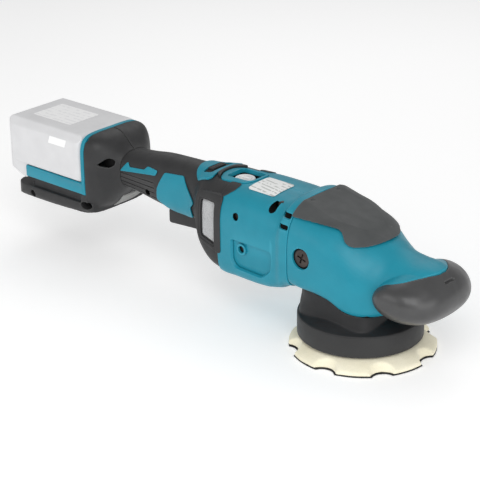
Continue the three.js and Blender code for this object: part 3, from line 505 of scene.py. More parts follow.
@dataclass(frozen=True)
class Moulding:
    """A moulded plastic or rubber: mottled colour, fine grain and rubbed edges."""

    name: str
    colour: Point3
    dark: Point3
    rubbed: Point3
    roughness: float
    grain: float = 2600.0  # turns per metre
    relief: float = 0.02
    sheen: float = 0.0
    gloss: float = 0.3  # how strongly the surface mirrors

    def build(self) -> bpy.types.Material:
        """Makes the material."""
        shader = Shader(self.name)
        mottle = shader.ramp(shader.noise(60, 4), 0.35, 0.65)
        base = shader.blend(mottle, self.dark, self.colour)
        worn = shader.blend(shader.edges(), base, self.rubbed)
        shader.link(worn, shader.surface.inputs["Base Color"])
        patches = shader.ramp(shader.noise(140, 5), 0.3, 0.7, (self.roughness - 0.05, self.roughness + 0.06))
        shader.link(patches, shader.surface.inputs["Roughness"])
        shader.set("Specular IOR Level", self.gloss)
        if self.sheen:
            shader.set("Sheen Weight", self.sheen)
        shader.bump(shader.noise(self.grain, 2), self.relief)
        return shader.made


@dataclass(frozen=True)
class Metal:
    """A bare metal with fine machining and dull patches."""

    name: str
    colour: Point3
    dark: Point3
    roughness: float
    metallic: float = 1.0

    def build(self) -> bpy.types.Material:
        """Makes the material."""
        shader = Shader(self.name)
        stains = shader.ramp(shader.noise(180, 5), 0.35, 0.7)
        shader.link(shader.blend(stains, self.dark, self.colour), shader.surface.inputs["Base Color"])
        shader.set("Metallic", self.metallic)
        patches = shader.ramp(shader.noise(900, 3), 0.2, 0.8, (self.roughness - 0.08, self.roughness + 0.1))
        shader.link(patches, shader.surface.inputs["Roughness"])
        shader.bump(shader.noise(4000, 2), 0.01)
        return shader.made


@dataclass(frozen=True)
class Foam:
    """Moulded foam with open pores darkened as painted shade, and a faintly yellowed skin."""

    name: str
    colour: Point3
    dark: Point3

    def build(self) -> bpy.types.Material:
        """Makes the material."""
        shader = Shader(self.name)
        tint = shader.ramp(shader.noise(45, 4), 0.3, 0.7)
        skin = shader.blend(tint, self.dark, self.colour)
        pores = shader.ramp(shader.cells(1500), 0.08, 0.3)
        # the pores are darkened: painted shade inside them
        pore_shade_colour = tuple(value * 0.82 for value in self.dark)
        shader.link(shader.blend(pores, pore_shade_colour, skin), shader.surface.inputs["Base Color"])
        shader.set("Roughness", 0.92)
        shader.set("Specular IOR Level", 0.2)
        shader.set("Sheen Weight", 0.25)
        shader.bump(pores, 0.12, 0.7)
        shader.bump(shader.noise(500, 4), 0.15, 0.6)
        return shader.made


@dataclass(frozen=True)
class Woven:
    """A dark woven hook face, darker between the hooks as painted shade."""

    name: str
    colour: Point3
    dark: Point3

    def build(self) -> bpy.types.Material:
        """Makes the material."""
        shader = Shader(self.name)
        hooks = shader.ramp(shader.cells(1100), 0.1, 0.6)
        # darker between the hooks: painted shade in the gaps
        shader.link(shader.blend(hooks, self.colour, self.dark), shader.surface.inputs["Base Color"])
        shader.set("Roughness", 0.85)
        shader.bump(hooks, 0.4)
        return shader.made


@dataclass(frozen=True)
class Screen:
    """A bright perforated screen: small holes in staggered rows, darkened as painted shade."""

    name: str
    colour: Point3
    # colour of the holes: painted shade in the openings
    hole: Point3
    pitch: float = 0.75  # millimetres between holes

    def build(self) -> bpy.types.Material:
        """Makes the material."""
        shader = Shader(self.name)
        holes = shader.ramp(shader.cells(1 / (self.pitch * MM)), 0.2, 0.42)
        # the holes take the darker colour: painted shade
        shader.link(shader.blend(holes, self.hole, self.colour), shader.surface.inputs["Base Color"])
        shader.set("Metallic", 0.35)
        shader.set("Roughness", 0.42)
        shader.bump(holes, 0.15)
        return shader.made


@dataclass(frozen=True)
class PrintedFilm:
    """A white film with blank pale bars where a label would have its print."""

    name: str
    colour: Point3
    bar: Point3
    pitch: float  # millimetres between bars
    angle: float = 0.0  # degrees about the vertical

    def build(self) -> bpy.types.Material:
        """Makes the material."""
        shader = Shader(self.name)
        turn = shader.tree.nodes.new("ShaderNodeMapping")
        turn.inputs["Rotation"].default_value = (0, 0, math.radians(self.angle))
        shader.link(shader.place, turn.inputs["Vector"])
        wave = shader.tree.nodes.new("ShaderNodeTexWave")
        wave.bands_direction = "Y"
        wave.inputs["Scale"].default_value = 0.314 / (self.pitch * MM)
        shader.link(turn.outputs["Vector"], wave.inputs["Vector"])
        bars = shader.ramp(wave.outputs["Fac"], 0.62, 0.7)
        broken = shader.ramp(shader.noise(260, 1), 0.47, 0.5)
        gate = shader.tree.nodes.new("ShaderNodeMath")
        gate.operation = "MULTIPLY"
        shader.link(bars, gate.inputs[0])
        shader.link(broken, gate.inputs[1])
        shader.link(shader.blend(gate.outputs[0], self.colour, self.bar), shader.surface.inputs["Base Color"])
        shader.set("Roughness", 0.38)
        shader.bump(shader.noise(700, 2), 0.01)
        return shader.made


class Finish(Enum):
    """Every surface on the tool."""

    TEAL = Moulding("moulded_teal", (0.012, 0.255, 0.350), (0.010, 0.235, 0.325), (0.03, 0.31, 0.42), 0.4)
    ELASTOMER = Moulding(
        "grip_elastomer", (0.027, 0.027, 0.028), (0.021, 0.021, 0.022), (0.06, 0.06, 0.06), 0.5, 1900, 0.03, 0.0, 0.4
    )
    BUMPER = Moulding(
        "bumper_rubber", (0.072, 0.076, 0.077), (0.060, 0.064, 0.065), (0.12, 0.125, 0.126), 0.6, 1700, 0.035, 0.06
    )
    NOSE = Moulding("nose_rubber", (0.052, 0.052, 0.053), (0.042, 0.042, 0.043), (0.1, 0.1, 0.1), 0.34, 1800, 0.02, 0.0, 0.6)
    NECK = Moulding("neck_rubber", (0.019, 0.019, 0.020), (0.014, 0.014, 0.015), (0.045, 0.045, 0.045), 0.5, 1800, 0.03)
    BLACK = Moulding("moulded_black", (0.010, 0.010, 0.011), (0.007, 0.007, 0.008), (0.03, 0.03, 0.03), 0.5)
    # near-black colour for painted shade in wells, gaps and behind vents
    PAINTED_SHADE = Moulding("painted_shade_black", (0.004, 0.004, 0.004), (0.003, 0.003, 0.003), (0.008, 0.008, 0.008), 0.8, gloss=0.1)
    BATTERY = Moulding("battery_shell", (0.73, 0.73, 0.74), (0.69, 0.69, 0.70), (0.80, 0.80, 0.81), 0.46, 2200, 0.012)
    WHITE = Moulding("white_dial", (0.80, 0.80, 0.79), (0.68, 0.68, 0.68), (0.88, 0.88, 0.88), 0.4)
    # pale grey painted highlight for the shroud's ribbed lower corner
    PAINTED_HIGHLIGHT = Moulding("painted_highlight_grey", (0.30, 0.30, 0.295), (0.26, 0.26, 0.255), (0.36, 0.36, 0.35), 0.5)
    STEEL = Metal("ground_steel", (0.56, 0.57, 0.58), (0.42, 0.43, 0.44), 0.34)
    ALLOY = Metal("cast_alloy", (0.62, 0.63, 0.64), (0.48, 0.49, 0.5), 0.48)
    COPPER = Metal("wound_core", (0.55, 0.30, 0.15), (0.36, 0.19, 0.1), 0.4)
    SCREW = Metal("blackened_screw", (0.075, 0.058, 0.052), (0.045, 0.036, 0.033), 0.42, 0.6)
    CELL = Moulding("cell_sleeve", (0.10, 0.25, 0.17), (0.08, 0.2, 0.14), (0.2, 0.35, 0.27), 0.35)
    BOARD = Moulding("circuit_board", (0.02, 0.14, 0.06), (0.015, 0.1, 0.045), (0.1, 0.3, 0.2), 0.4)
    FOAM = Foam("open_foam", (0.96, 0.91, 0.72), (0.91, 0.85, 0.64))
    HOOKS = Woven("woven_hooks", (0.05, 0.05, 0.05), (0.015, 0.015, 0.015))
    SCREEN = Screen("intake_screen", (0.74, 0.75, 0.76), (0.36, 0.37, 0.38))
    FELT = Moulding("filter_felt", (0.72, 0.72, 0.72), (0.60, 0.60, 0.60), (0.8, 0.8, 0.8), 0.9, 1400, 0.1)
    LABEL = PrintedFilm("rating_film", (0.82, 0.83, 0.82), (0.50, 0.52, 0.50), 4.2, 8)
    PACK_LABEL = PrintedFilm("pack_film", (0.96, 0.96, 0.96), (0.86, 0.86, 0.87), 6.0)

    def material(self) -> bpy.types.Material:
        """The finish's material, made when it is first used."""
        return bpy.data.materials.get(self.value.name) or self.value.build()


# ---------------------------------------------------------------- casings
Section = tuple[float, float, float, float, float, float, float]


def power(value: float, exponent: float) -> float:
    """A power that keeps the sign."""
    return math.copysign(abs(value) ** exponent, value)


@dataclass(frozen=True)
class Casing:
    """A moulded skin through cross-sections along X.

    Each section is x, half width, top, height of the widest point, bottom, and how square it is
    above and below its widest point, where 2 is an ellipse.
    """

    sections: tuple[Section, ...]

    def at(self, x: float) -> list[float]:
        """The section at any x, on a smooth curve through the given ones."""
        stations = self.sections
        last = len(stations) - 1
        inside = max(stations[0][0], min(stations[last][0], x))
        i = next((k for k in range(1, last + 1) if stations[k][0] >= inside), last) - 1
        span = stations[i + 1][0] - stations[i][0]
        t = (inside - stations[i][0]) / span
        made = [x]
        for k in range(1, 7):
            before, after = max(i - 1, 0), min(i + 2, last)
            slope_in = (stations[i + 1][k] - stations[before][k]) / (stations[i + 1][0] - stations[before][0])
            slope_out = (stations[after][k] - stations[i][k]) / (stations[after][0] - stations[i][0])
            start, rise = stations[i][k], stations[i + 1][k] - stations[i][k]
            bend = span * t * (1 - t) * ((1 - t) * slope_in - t * slope_out)
            made.append(start + (3 - 2 * t) * t * t * rise + bend)
        return made

    def ring(self, x: float, offset: float) -> list[Point3]:
        """The points of the section at x, grown outwards by an offset."""
        _, half, top, widest, bottom, square, square_below = self.at(x)
        points = []
        for i in range(RING_POINTS):
            angle = (i + 0.5) / RING_POINTS * math.tau
            above = math.sin(angle) > 0
            exponent = 2 / (square if above else square_below)
            height = (top + offset - widest) if above else (widest - bottom + offset)
            y = (half + offset) * power(math.cos(angle), exponent)
            points.append((x, y, widest + height * power(math.sin(angle), exponent)))
        return points

    def side_at(self, x: float, z: float) -> float:
        """How far out the skin stands at a height."""
        _, half, top, widest, bottom, square, square_below = self.at(x)
        if z > widest:
            share, exponent = (z - widest) / (top - widest), square
        else:
            share, exponent = (widest - z) / (widest - bottom), square_below
        return half * (1 - min(share, 1.0) ** exponent) ** (1 / exponent)

    def solid(self, name: str, start: float, end: float, offset: float = 0.0, edge: float = 0.0) -> Piece:
        """The solid inside the skin between two stations.

        Args:
            name: the new object's name.
            start: first station.
            end: last station.
            offset: how far the skin is grown outwards.
            edge: radius that rounds the two ends.

        Returns:
            The closed solid.
        """
        places = [(start + edge, offset), (end - edge, offset)]
        k = math.floor((start + edge) / STATION_PITCH) + 1
        while k * STATION_PITCH < end - edge:
            places.append((k * STATION_PITCH, offset))
            k += 1
        if edge:
            for turn in (0, 30, 60):
                inset = edge * (1 - math.sin(math.radians(turn + 15)))
                step = edge * (1 - math.cos(math.radians(turn)))
                places.append((start + step, offset - inset))
                places.append((end - step, offset - inset))
        places.sort()
        return loft(name, [self.ring(x, grown) for x, grown in places])

    def layer(self, name: str, start: float, end: float, low: float, high: float) -> Piece:
        """The skin between two offsets."""
        return cut(self.solid(name, start, end, high), self.solid("core", start - 4, end + 4, low))


HOUSING = Casing(
    (
        (-160, 35.0, 119.0, 84, 49.0, 3.0, 3.6),
        (-126, 38.6, 120.4, 84, 40.2, 3.0, 7.0),
        (-106, 40.4, 121.0, 84, 40.4, 3.0, 7.0),
        (-74, 42.2, 120.8, 83, 41.2, 2.9, 6.5),
        (-56.5, 42.8, 120.8, 82, 45.0, 2.8, 6.0),
        (-52.5, 44.6, 124.9, 82, 47.4, 2.8, 5.5),
        (-49, 45.0, 126.0, 82, 49.2, 2.8, 5.0),
        (-43, 45.0, 126.0, 82, 50.4, 2.8, 5.0),
    )
)
HANDLE = Casing(
    (
        (-270, 19.5, 111.5, 95, 78.0, 2.4, 2.6),
        (-245, 19.3, 113.8, 95, 75.5, 2.4, 2.6),
        (-222, 19.5, 117.0, 95, 71.6, 2.5, 2.6),
        (-200, 19.8, 118.2, 94, 69.4, 2.5, 2.7),
        (-178, 20.6, 119.0, 93, 69.5, 2.5, 3.0),
        (-166, 24.0, 119.3, 91, 66.5, 2.5, 3.2),
        (-158, 31.0, 119.2, 88, 55.0, 2.8, 3.4),
        (-152, 35.2, 119.2, 86, 49.5, 3.0, 3.6),
        (-140, 36.0, 120.0, 85, 42.6, 3.0, 5.6),
        (-126, 36.6, 120.0, 84, 40.2, 3.0, 7.0),
    )
)
MOUNT = Casing(
    (
        (-294, 38.5, 127.6, 90, 50.0, 5.6, 4.2),
        (-284, 38.0, 127.2, 90, 55.0, 5.4, 3.6),
        (-277, 34.8, 125.0, 91, 60.5, 4.4, 3.2),
        (-271, 28.8, 120.6, 92, 67.6, 3.5, 2.9),
        (-266, 22.9, 115.6, 94, 73.4, 2.8, 2.7),
        (-262, 19.9, 112.8, 95, 76.7, 2.5, 2.6),
        (-254, 19.6, 112.9, 95, 76.5, 2.4, 2.6),
    )
)
FOOT = Casing(
    (
        (-388, 38.4, 62.5, 60, 46.5, 12, 3.2),
        (-372, 38.4, 62.5, 60, 44.8, 12, 3.2),
        (-340, 38.4, 62.5, 60, 45.0, 12, 3.2),
        (-310, 38.3, 62.5, 60, 46.8, 12, 3.2),
        (-284, 38.0, 62.5, 60, 52.0, 12, 3.2),
    )
)
HEAD = Casing(
    (
        (-43, 45.0, 125.6, 82, 52.2, 2.8, 5.0),
        (-30, 45.2, 121.6, 82, 53.5, 2.8, 7.0),
        (-14, 45.2, 117.6, 81, 54.3, 2.8, 9.0),
        (0, 44.6, 114.4, 77, 51.8, 2.5, 9.0),
        (12, 43.2, 110.8, 72, 46.0, 2.2, 9.0),
        (22, 41.0, 105.6, 66, 43.5, 2.0, 7.0),
        (32, 37.2, 101.6, 62, 43.5, 1.9, 5.0),
        (42, 32.6, 97.4, 62, 45.0, 1.9, 3.2),
        (54, 29.6, 94.4, 64, 48.5, 2.1, 2.8),
        (70, 27.4, 92.7, 67, 52.0, 2.3, 2.5),
        (80, 21.0, 90.8, 68, 55.0, 2.3, 2.5),
        (86, 10.0, 88.6, 70, 60.0, 2.4, 2.4),
    )
)
HEAD_SEAM = -43.0
HANDLE_SEAM = -126.0
MOUNT_SEAM = -262.0
MOUNT_FACE = -294.0


# ---------------------------------------------------------------- pad, skirt and neck
@dataclass
class BackingPad:
    """The notched foam backing pad and its hook face."""

    radius: float = 62.3
    offset: float = 2.75  # of the pad's axis from the spindle's
    notches: int = 8
    notch_radius: float = 10.0
    notch_depth: float = 5.5
    phase: float = 8.0
    foam_low: float = 1.15
    hook_low: float = 0.25
    hook_high: float = 0.9

    def bites(self, low: float, high: float, spread: float) -> list[Piece]:
        """The cutters of the edge's notches, wider at the top by a spread."""
        made = []
        reach = self.radius - self.notch_depth + self.notch_radius
        for i in range(self.notches):
            turn = math.radians(self.phase + 360 / self.notches * i)
            x, y = self.offset + reach * math.cos(turn), reach * math.sin(turn)
            made.append(rod("bite", self.notch_radius, (x, y, low), (x, y, high), 24, self.notch_radius + spread))
        return made

    def foam(self) -> Piece:
        """The moulded foam, with a soft shoulder that thins out to the edge."""
        profile = [(0.0, self.foam_low), (self.radius - 0.4, self.foam_low), (self.radius, 2.0), (self.radius, 3.8)]
        profile += [(61.6, 4.9), (59.6, 6.3), (56.4, 8.0), (53.0, 9.4), (50.0, 10.4), (46.0, 11.2), (44.0, 11.7)]
        profile += [(10.2, 11.7), (10.0, 6.0), (0.0, 6.0)]
        piece = spun("foam_body", profile, self.offset, 120)
        cut(piece, *self.bites(-2, 12, 5.0))
        remould(piece, 0.8, 8)
        ruffle(piece, 9.0, 0.5)
        return thin_out(piece, 0.6)

    def hook_face(self) -> Piece:
        """The thin dark hook face, whose cut edge is a little ragged."""
        profile = [(0.0, self.hook_low), (self.radius, self.hook_low)]
        profile += [(self.radius, self.hook_high), (0.0, self.hook_high)]
        piece = spun("hook_face", profile, self.offset, 180)
        cut(piece, *self.bites(-2, 4, 0.4))
        remould(piece, 0.5, 2)
        ruffle(piece, 2.6, 0.34)
        return thin_out(piece, 0.7)

    def build(self) -> None:
        """Makes both pieces."""
        foam = finished(self.foam(), Finish.FOAM, "pad", ["pad_foam"], 60)
        finished(self.hook_face(), Finish.HOOKS, "pad", ["pad_hook_disc"], 60)


@dataclass
class NeckAndSkirt:
    """The squared rubber neck that flares down to the round skirt over the pad."""

    skirt_radius: float = 53.1
    skirt_low: float = 12.5
    skirt_high: float = 29.9
    neck_low: float = 29.2

    def squared(self, z: float, rear: float, front: float, half: float, square: float) -> list[Point3]:
        """A ring of the neck: a rounded square whose front and rear differ."""
        made = []
        for i in range(RING_POINTS):
            turn = (i + 0.5) / RING_POINTS * math.tau
            reach = front if math.cos(turn) > 0 else rear
            x = reach * power(math.cos(turn), 2 / square)
            made.append((x, half * power(math.sin(turn), 2 / square), z))
        return made

    def neck(self) -> Piece:
        """The neck, with the cone that closes the skirt's top."""
        column = [
            (30.35, 43.0, 38.6, 42.6, 4.3),
            (32.0, 42.8, 38.0, 42.0, 4.4),
            (36.0, 43.2, 37.0, 41.4, 4.3),
            (41.0, 44.0, 36.4, 41.0, 3.8),
            (47.0, 44.4, 36.0, 40.8, 3.3),
            (60.0, 44.4, 35.4, 40.8, 3.0),
        ]
        outside = loft("neck_moulding", [self.squared(*ring) for ring in column])
        cone = [(0.0, self.neck_low), (52.7, self.neck_low), (53.1, 30.3), (52.7, 31.2), (50.0, 32.3)]
        cone += [(38.0, 38.2), (36.0, 39.2), (0.0, 39.2)]
        join(outside, spun("cone", cone, 0, 96))
        hollow = [(20.0, 44.0, 34.6, 38.0, 3.0), (33.0, 41.0, 34.2, 37.8, 3.2), (64.0, 41.4, 32.4, 37.8, 2.8)]
        cut(outside, loft("hollow", [self.squared(*ring) for ring in hollow]))
        cut(outside, HEAD.solid("above", HEAD_SEAM, 80, 0.05), HOUSING.solid("behind", -100, HEAD_SEAM + 1, 0.05))
        return thin_out(remould(outside, 0.7, 4), 0.5)

    def skirt(self) -> Piece:
        """The round skirt, its lip turned in over the pad."""
        outer, low, high = self.skirt_radius, self.skirt_low, self.skirt_high
        profile = [(outer - 3.2, low + 0.3), (outer - 2.9, low), (outer - 0.5, low), (outer, low + 0.5)]
        profile += [(outer, high - 0.5), (outer - 0.2, high - 0.1), (outer - 0.6, high), (outer - 2.4, high)]
        profile += [(41.0, high), (41.0, high - 2.8), (outer - 4.2, high - 3.6), (outer - 3.2, high - 4.8)]
        return spun("skirt_moulding", profile, 0, 128)

    def build(self) -> None:
        """Makes both pieces."""
        finished(self.neck(), Finish.NECK, "root", ["neck_cover"], 50)
        finished(self.skirt(), Finish.NECK, "root", ["skirt_ring"], 30)


# ---------------------------------------------------------------- head
@dataclass
class Head:
    """The gear head's cover, its rubber bumper, the nose grip and the two side screws."""

    screw: Point2 = (-28.0, 84.0)  # x and z of the side screws
    screw_radius: float = 7.9
    face: float = 43.4  # how far out the screws' heads stand
    bumper_outline: tuple[Point2, ...] = (
        (-60, 117),
        (-14, 114.5),
        (1, 112),
        (8, 105),
        (14, 101.5),
        (24, 101.2),
        (34, 105.2),
        (44, 112),
        (44, 140),
        (-60, 140),
    )
    crown: tuple[Point2, ...] = (
        (-60, 60),
        (-60, 131),
        (-43.5, 126.2),
        (-30, 122.2),
        (-14, 118.2),
        (0, 115.0),
        (6, 113.6),
        (14, 111.3),
        (22, 107.4),
        (30, 104.6),
        (48, 98),
        (48, 60),
    )
    tongue: tuple[Point2, ...] = (
        (20, -36),
        (43, -33),
        (57, -32.3),
        (64, -28),
        (71, -20.5),
        (77.5, -12.5),
        (81, -5),
        (81, 5),
        (77.5, 12.5),
        (71, 20.5),
        (64, 28),
        (57, 32.3),
        (43, 33),
        (20, 36),
    )
    tongue_low: float = 75.0  # height of the tongue's underside, inside the grip
    # distance from the middle, then rear, front, bottom and top of the section
    nose: tuple[tuple[float, float, float, float, float], ...] = (
        (0, 40, 95.6, 45.6, 91.5),
        (10, 39.6, 95.2, 46.0, 90.6),
        (20, 38.4, 93.4, 47.0, 87.6),
        (28, 38.0, 90.0, 48.8, 84.6),
        (35, 39.2, 84.8, 52.0, 82.0),
        (40, 42.2, 78.4, 56.0, 79.4),
        (43, 47.4, 71.6, 60.6, 75.6),
        (44.4, 53.0, 65.0, 64.6, 71.6),
    )

    def cover(self) -> Piece:
        """The cover: a shell that is open behind and below, with a tongue over the nose."""
        shell = HEAD.solid("head_moulding", HEAD_SEAM + GAP, 86, 0, 1.0)
        lip = plan_prism("lip", self.tongue, 5, (self.tongue_low, 110))
        join(shell, keep(self.nose_bulb("under_lip"), copy_of(lip, "lip_limit")))
        keep(shell, join(block("behind_nose", (-60, 46), (-60, 60), (20, 140)), lip))
        cut(shell, HEAD.solid("inside", HEAD_SEAM - 4, 76, -WALL))
        cut(shell, block("mouth", (-60, 33), (-34, 34), (20, 66)))
        x, z = self.screw
        for side in Side:
            y = side.value
            wall = rod("wall", self.screw_radius + 3, (x, y * 37, z), (x, y * 44, z), 40)
            join(shell, keep(wall, HEAD.solid("limit", HEAD_SEAM + GAP, 20, -0.1)))
            cut(shell, rod("well", self.screw_radius + 1.0, (x, y * 39.5, z), (x, y * 60, z), 48))
            cut(shell, rod("bore", 2.6, (x, y * 30, z), (x, y * 50, z), 24))
        return thin_out(remould(shell, 0.6, 3), 0.45)

    def bumper(self) -> Piece:
        """The rubber bumper over the top, with a flat crown and two dimples."""
        piece = HEAD.layer("bumper_moulding", HEAD_SEAM + GAP + 0.2, 60, 0.1, 2.6)
        keep(piece, side_prism("outline", self.bumper_outline, 8, (-REACH, REACH)))
        keep(piece, side_prism("crown", self.crown, 3, (-REACH, REACH)))
        for side in Side:
            dimple = rod("dimple", 2.3, (-37.4, side.value * 16.4, 124.0), (-37.4, side.value * 16.4, 131), 24, 4.5)
            cut(piece, dimple)
        return thin_out(remould(piece, 0.42, 7), 0.4)

    def nose_at(self, y: float) -> tuple[float, float, float, float]:
        """The nose grip's section at a distance from the middle, on a smooth curve."""
        stations = Casing(tuple((s[0], *s[1:], 0.0, 0.0) for s in self.nose))
        return tuple(stations.at(y)[1:5])

    def nose_ring(self, y: float) -> list[Point3]:
        """The points of the nose grip's section at y."""
        rear, front, bottom, top = self.nose_at(abs(y))
        made = []
        for i in range(RING_POINTS):
            turn = (i + 0.5) / RING_POINTS * math.tau
            x = (rear + front) / 2 + (front - rear) / 2 * math.cos(turn)
            made.append((x, y, (top + bottom) / 2 + (top - bottom) / 2 * math.sin(turn)))
        return made

    def nose_bulb(self, name: str) -> Piece:
        """The whole bulb of the nose, before anything is cut from it."""
        places = [2.0 * k for k in range(21)] + [41.2, 42.2, 43, 43.6, 44.0, 44.3]
        stations = sorted({sign * y for y in places for sign in (-1, 1)})
        return loft(name, [self.nose_ring(y) for y in stations])

    def nose_grip(self) -> Piece:
        """The rubber bulb at the front, fitted round the cover's tongue, with a small slot."""
        piece = self.nose_bulb("nose_moulding")
        grown = [(x + GAP if x > 30 else x, y * 1.008) for x, y in self.tongue]
        cut(piece, plan_prism("lip", grown, 5, (self.tongue_low - GAP, 110)))
        cut(piece, HEAD.solid("cover", -20, 46 + GAP, GAP))
        cut(piece, block("slot", (87.2, 89.2), (-6.5, 6.0), (81.4, 100)))
        return thin_out(remould(piece, 0.6, 3), 0.45)

    def screw_seat(self, side: Side) -> Piece:
        """A near-black ring round the screw, painted shade in the gap of its well."""
        x, z = self.screw
        y = side.value
        ring = rod(f"screw_seat_{side.label}", self.screw_radius + 0.95, (x, y * 39.6, z), (x, y * 43.0, z), 48)
        cut(ring, rod("space", self.screw_radius + 0.15, (x, y * 39.9, z), (x, y * 60, z), 48))
        return bevelled(ring, 0.15, 2)

    def screw_head(self, side: Side) -> Piece:
        """A broad screw with a domed head and a cross recess."""
        x, z = self.screw
        y = side.value
        radius, face = self.screw_radius, self.face
        head = rod("screw", radius, (x, y * (face - 3.4), z), (x, y * (face - 0.1), z), 48)
        bevelled(head, 1.0, 4, 60)
        join(head, rod("shank", 2.3, (x, y * 31.2, z), (x, y * (face - 3), z), 24))
        for turn in (20, 110):
            slot = block("slot", (-4.6, 4.6), (-1.8, 1.8), (-0.8, 0.8))
            slot.data.transform(Matrix.Rotation(math.radians(turn), 4, "Y"))
            slot.data.transform(Matrix.Translation(metres((x, y * (face + 0.2), z))))
            cut(head, slot)
        head.name = f"side_screw_{side.label}"
        return head

    def build(self) -> None:
        """Makes the head's pieces."""
        finished(self.cover(), Finish.TEAL, "root", ["head_cover"])
        finished(self.bumper(), Finish.BUMPER, "root", ["head_bumper"], 60)
        finished(self.nose_grip(), Finish.NOSE, "root", ["nose_grip"], 60)
        for side in Side:
            # the near-black ring is painted shade round each screw
            finished(self.screw_seat(side), Finish.PAINTED_SHADE, "root")
            finished(self.screw_head(side), Finish.SCREW, "root", [f"head_screw_{side.label}"])


# ---------------------------------------------------------------- motor housing
@dataclass
class MotorHousing:
    """The teal housing in two halves, with its screw holes, vents and recessed side panel."""

    upper_hole: Point2 = (-103.5, 99.5)
    lower_hole: Point2 = (-97.5, 71.5)
    front_hole: Point2 = (-68.6, 114.6)
    hole_radius: float = 3.3
    panel: tuple[Point2, ...] = ((-110, 79), (-110, 58), (-105, 52.5), (-74, 52.5), (-64, 61), (-62.5, 70), (-62.5, 79))
    vents: tuple[Point2, ...] = ((-49.4, 114.3), (-49.2, 105.8))
    vent_size: Point2 = (10.8, 4.2)
    dial_frame: tuple[Point2, ...] = (
        (-146, -7),
        (-140, -19),
        (-113, -17),
        (-107.5, -8),
        (-108, 12),
        (-136, 14.5),
        (-146.2, 7),
    )

    def whole(self) -> Piece:
        """The housing before it is split."""
        shell = HOUSING.solid("housing", HANDLE_SEAM, HEAD_SEAM, 0, 0.7)
        cut(shell, HOUSING.solid("inside", HANDLE_SEAM - 4, HEAD_SEAM + 4, -WALL))
        cut(shell, plan_prism("dial_hole", self.dial_frame, 5, (100, 140)))
        for side in Side:
            y = side.value
            cut(shell, self.dished("recess", y, ((34.6, 0.88), (38.8, 0.95), (46.0, 1.16))))
            floor = HOUSING.solid("recess_floor", -116, -56, -3.2)
            join(shell, keep(floor, self.dished("back", y, ((34.4, 1.04), (60.0, 1.04)))))
            for x, z in self.vents:
                out = HOUSING.side_at(x, z)
                long, high = self.vent_size[0] / 2, self.vent_size[1] / 2
                slot = rectangle((x - long, x + long), (z - high, z + high))
                cut(shell, side_prism("vent", slot, 1.9, tuple(sorted((y * (out - 9), y * REACH)))))
            notch = block("notch", (-47.5, -41), tuple(sorted((y * 18, y * 27))), (46, 52.4))
            cut(shell, notch)
        return shell

    def dished(self, name: str, side: float, steps: Sequence[Span]) -> Piece:
        """A prism on the side panel's outline, whose size changes with its distance from the middle.

        Args:
            name: the new object's name.
            side: the sign of Y.
            steps: distance from the middle and the outline's scale there.

        Returns:
            The closed solid.
        """
        shape = rounded(self.panel, 4)
        mid_x = sum(x for x, _ in shape) / len(shape)
        mid_z = sum(z for _, z in shape) / len(shape)
        rings = []
        for out, scale in steps:
            rings.append([(mid_x + (x - mid_x) * scale, side * out, mid_z + (z - mid_z) * scale) for x, z in shape])
        return loft(name, rings)

    def shade_linings(self) -> Piece:
        """Near-black linings of the screw wells and plates behind the vents: painted shade in the holes."""
        made = []
        for (x, z), sunk in ((self.upper_hole, 0.4), (self.lower_hole, 3.5)):
            out = HOUSING.side_at(x, z) - sunk
            tube = rod("shade_lining", self.hole_radius + 0.2, (x, -out, z), (x, -34.0, z), 32)
            made.append(cut(tube, rod("bore", self.hole_radius - 0.3, (x, -REACH, z), (x, -34.5, z), 32)))
        for side in Side:
            # near-black plates behind the vents are painted shade
            for x, z in self.vents:
                reach = tuple(sorted((side.value * 20, side.value * REACH)))
                plate = block("vent_shade_plate", (x - 6.4, x + 6.0), reach, (z - 3.4, z + 3.4))
                keep(plate, HOUSING.layer("vent_limit", -60, -43.6, -3.4, -1.5))
                made.append(plate)
        drop = self.drop(0.25)
        shade_lining = loft("drop_shade_lining", [[(x, y, z) for x, z in drop] for y in (-REACH, -22.6)])
        space = self.drop(-0.35)
        cut(shade_lining, loft("drop_space", [[(x, y, z) for x, z in space] for y in (-REACH - 5, -23.4)]))
        made.append(keep(shade_lining, HOUSING.solid("drop_limit", -80, -45, -0.3)))
        first = made[0]
        first.name = "well_shade_linings"
        return join(first, *made[1:])

    def drop(self, grown: float) -> list[Point2]:
        """The outline of the front screw's well, grown by a distance."""
        x, z = self.front_hole
        shape = [(x + 3.0 + grown, z + 3.6 + grown)]
        for degrees in range(95, 350, 15):
            turn = math.radians(degrees)
            shape.append((x + (4.0 + grown) * math.cos(turn), z + (4.0 + grown) * math.sin(turn)))
        return shape

    def bored(self, half: Piece) -> Piece:
        """Adds the right half's screw wells, each with a boss behind it."""
        for x, z in (self.upper_hole, self.lower_hole):
            boss = rod("boss", 5, (x, -HOUSING.side_at(x, z) + 1.2, z), (x, -32.5, z), 32)
            join(half, boss)
            cut(half, rod("hole", self.hole_radius, (x, -REACH, z), (x, -34.6, z), 32))
        x, z = self.front_hole
        well = loft("well", [[(px, y, pz) for px, pz in self.drop(0.0)] for y in (-REACH, -23.4)])
        boss = keep(rod("boss", 5.4, (x, -33, z), (x, -20.5, z), 32), HOUSING.solid("limit", -80, -50, -0.6))
        join(half, boss)
        cut(half, well, rod("pilot", 2.1, (x, -30, z), (x, -15, z), 20))
        return half

    def build(self) -> None:
        """Makes the two halves and their screws."""
        whole = self.whole()
        right = self.bored(half_of(whole, Side.RIGHT, "housing_moulding_right"))
        left = half_of(whole, Side.LEFT, "housing_moulding_left")
        bpy.data.objects.remove(whole)
        finished(right, Finish.TEAL, "root", ["housing_right"])
        finished(left, Finish.TEAL, "root", ["housing_left"])
        # near-black linings and vent plates: painted shade
        finished(self.shade_linings(), Finish.PAINTED_SHADE, "root")


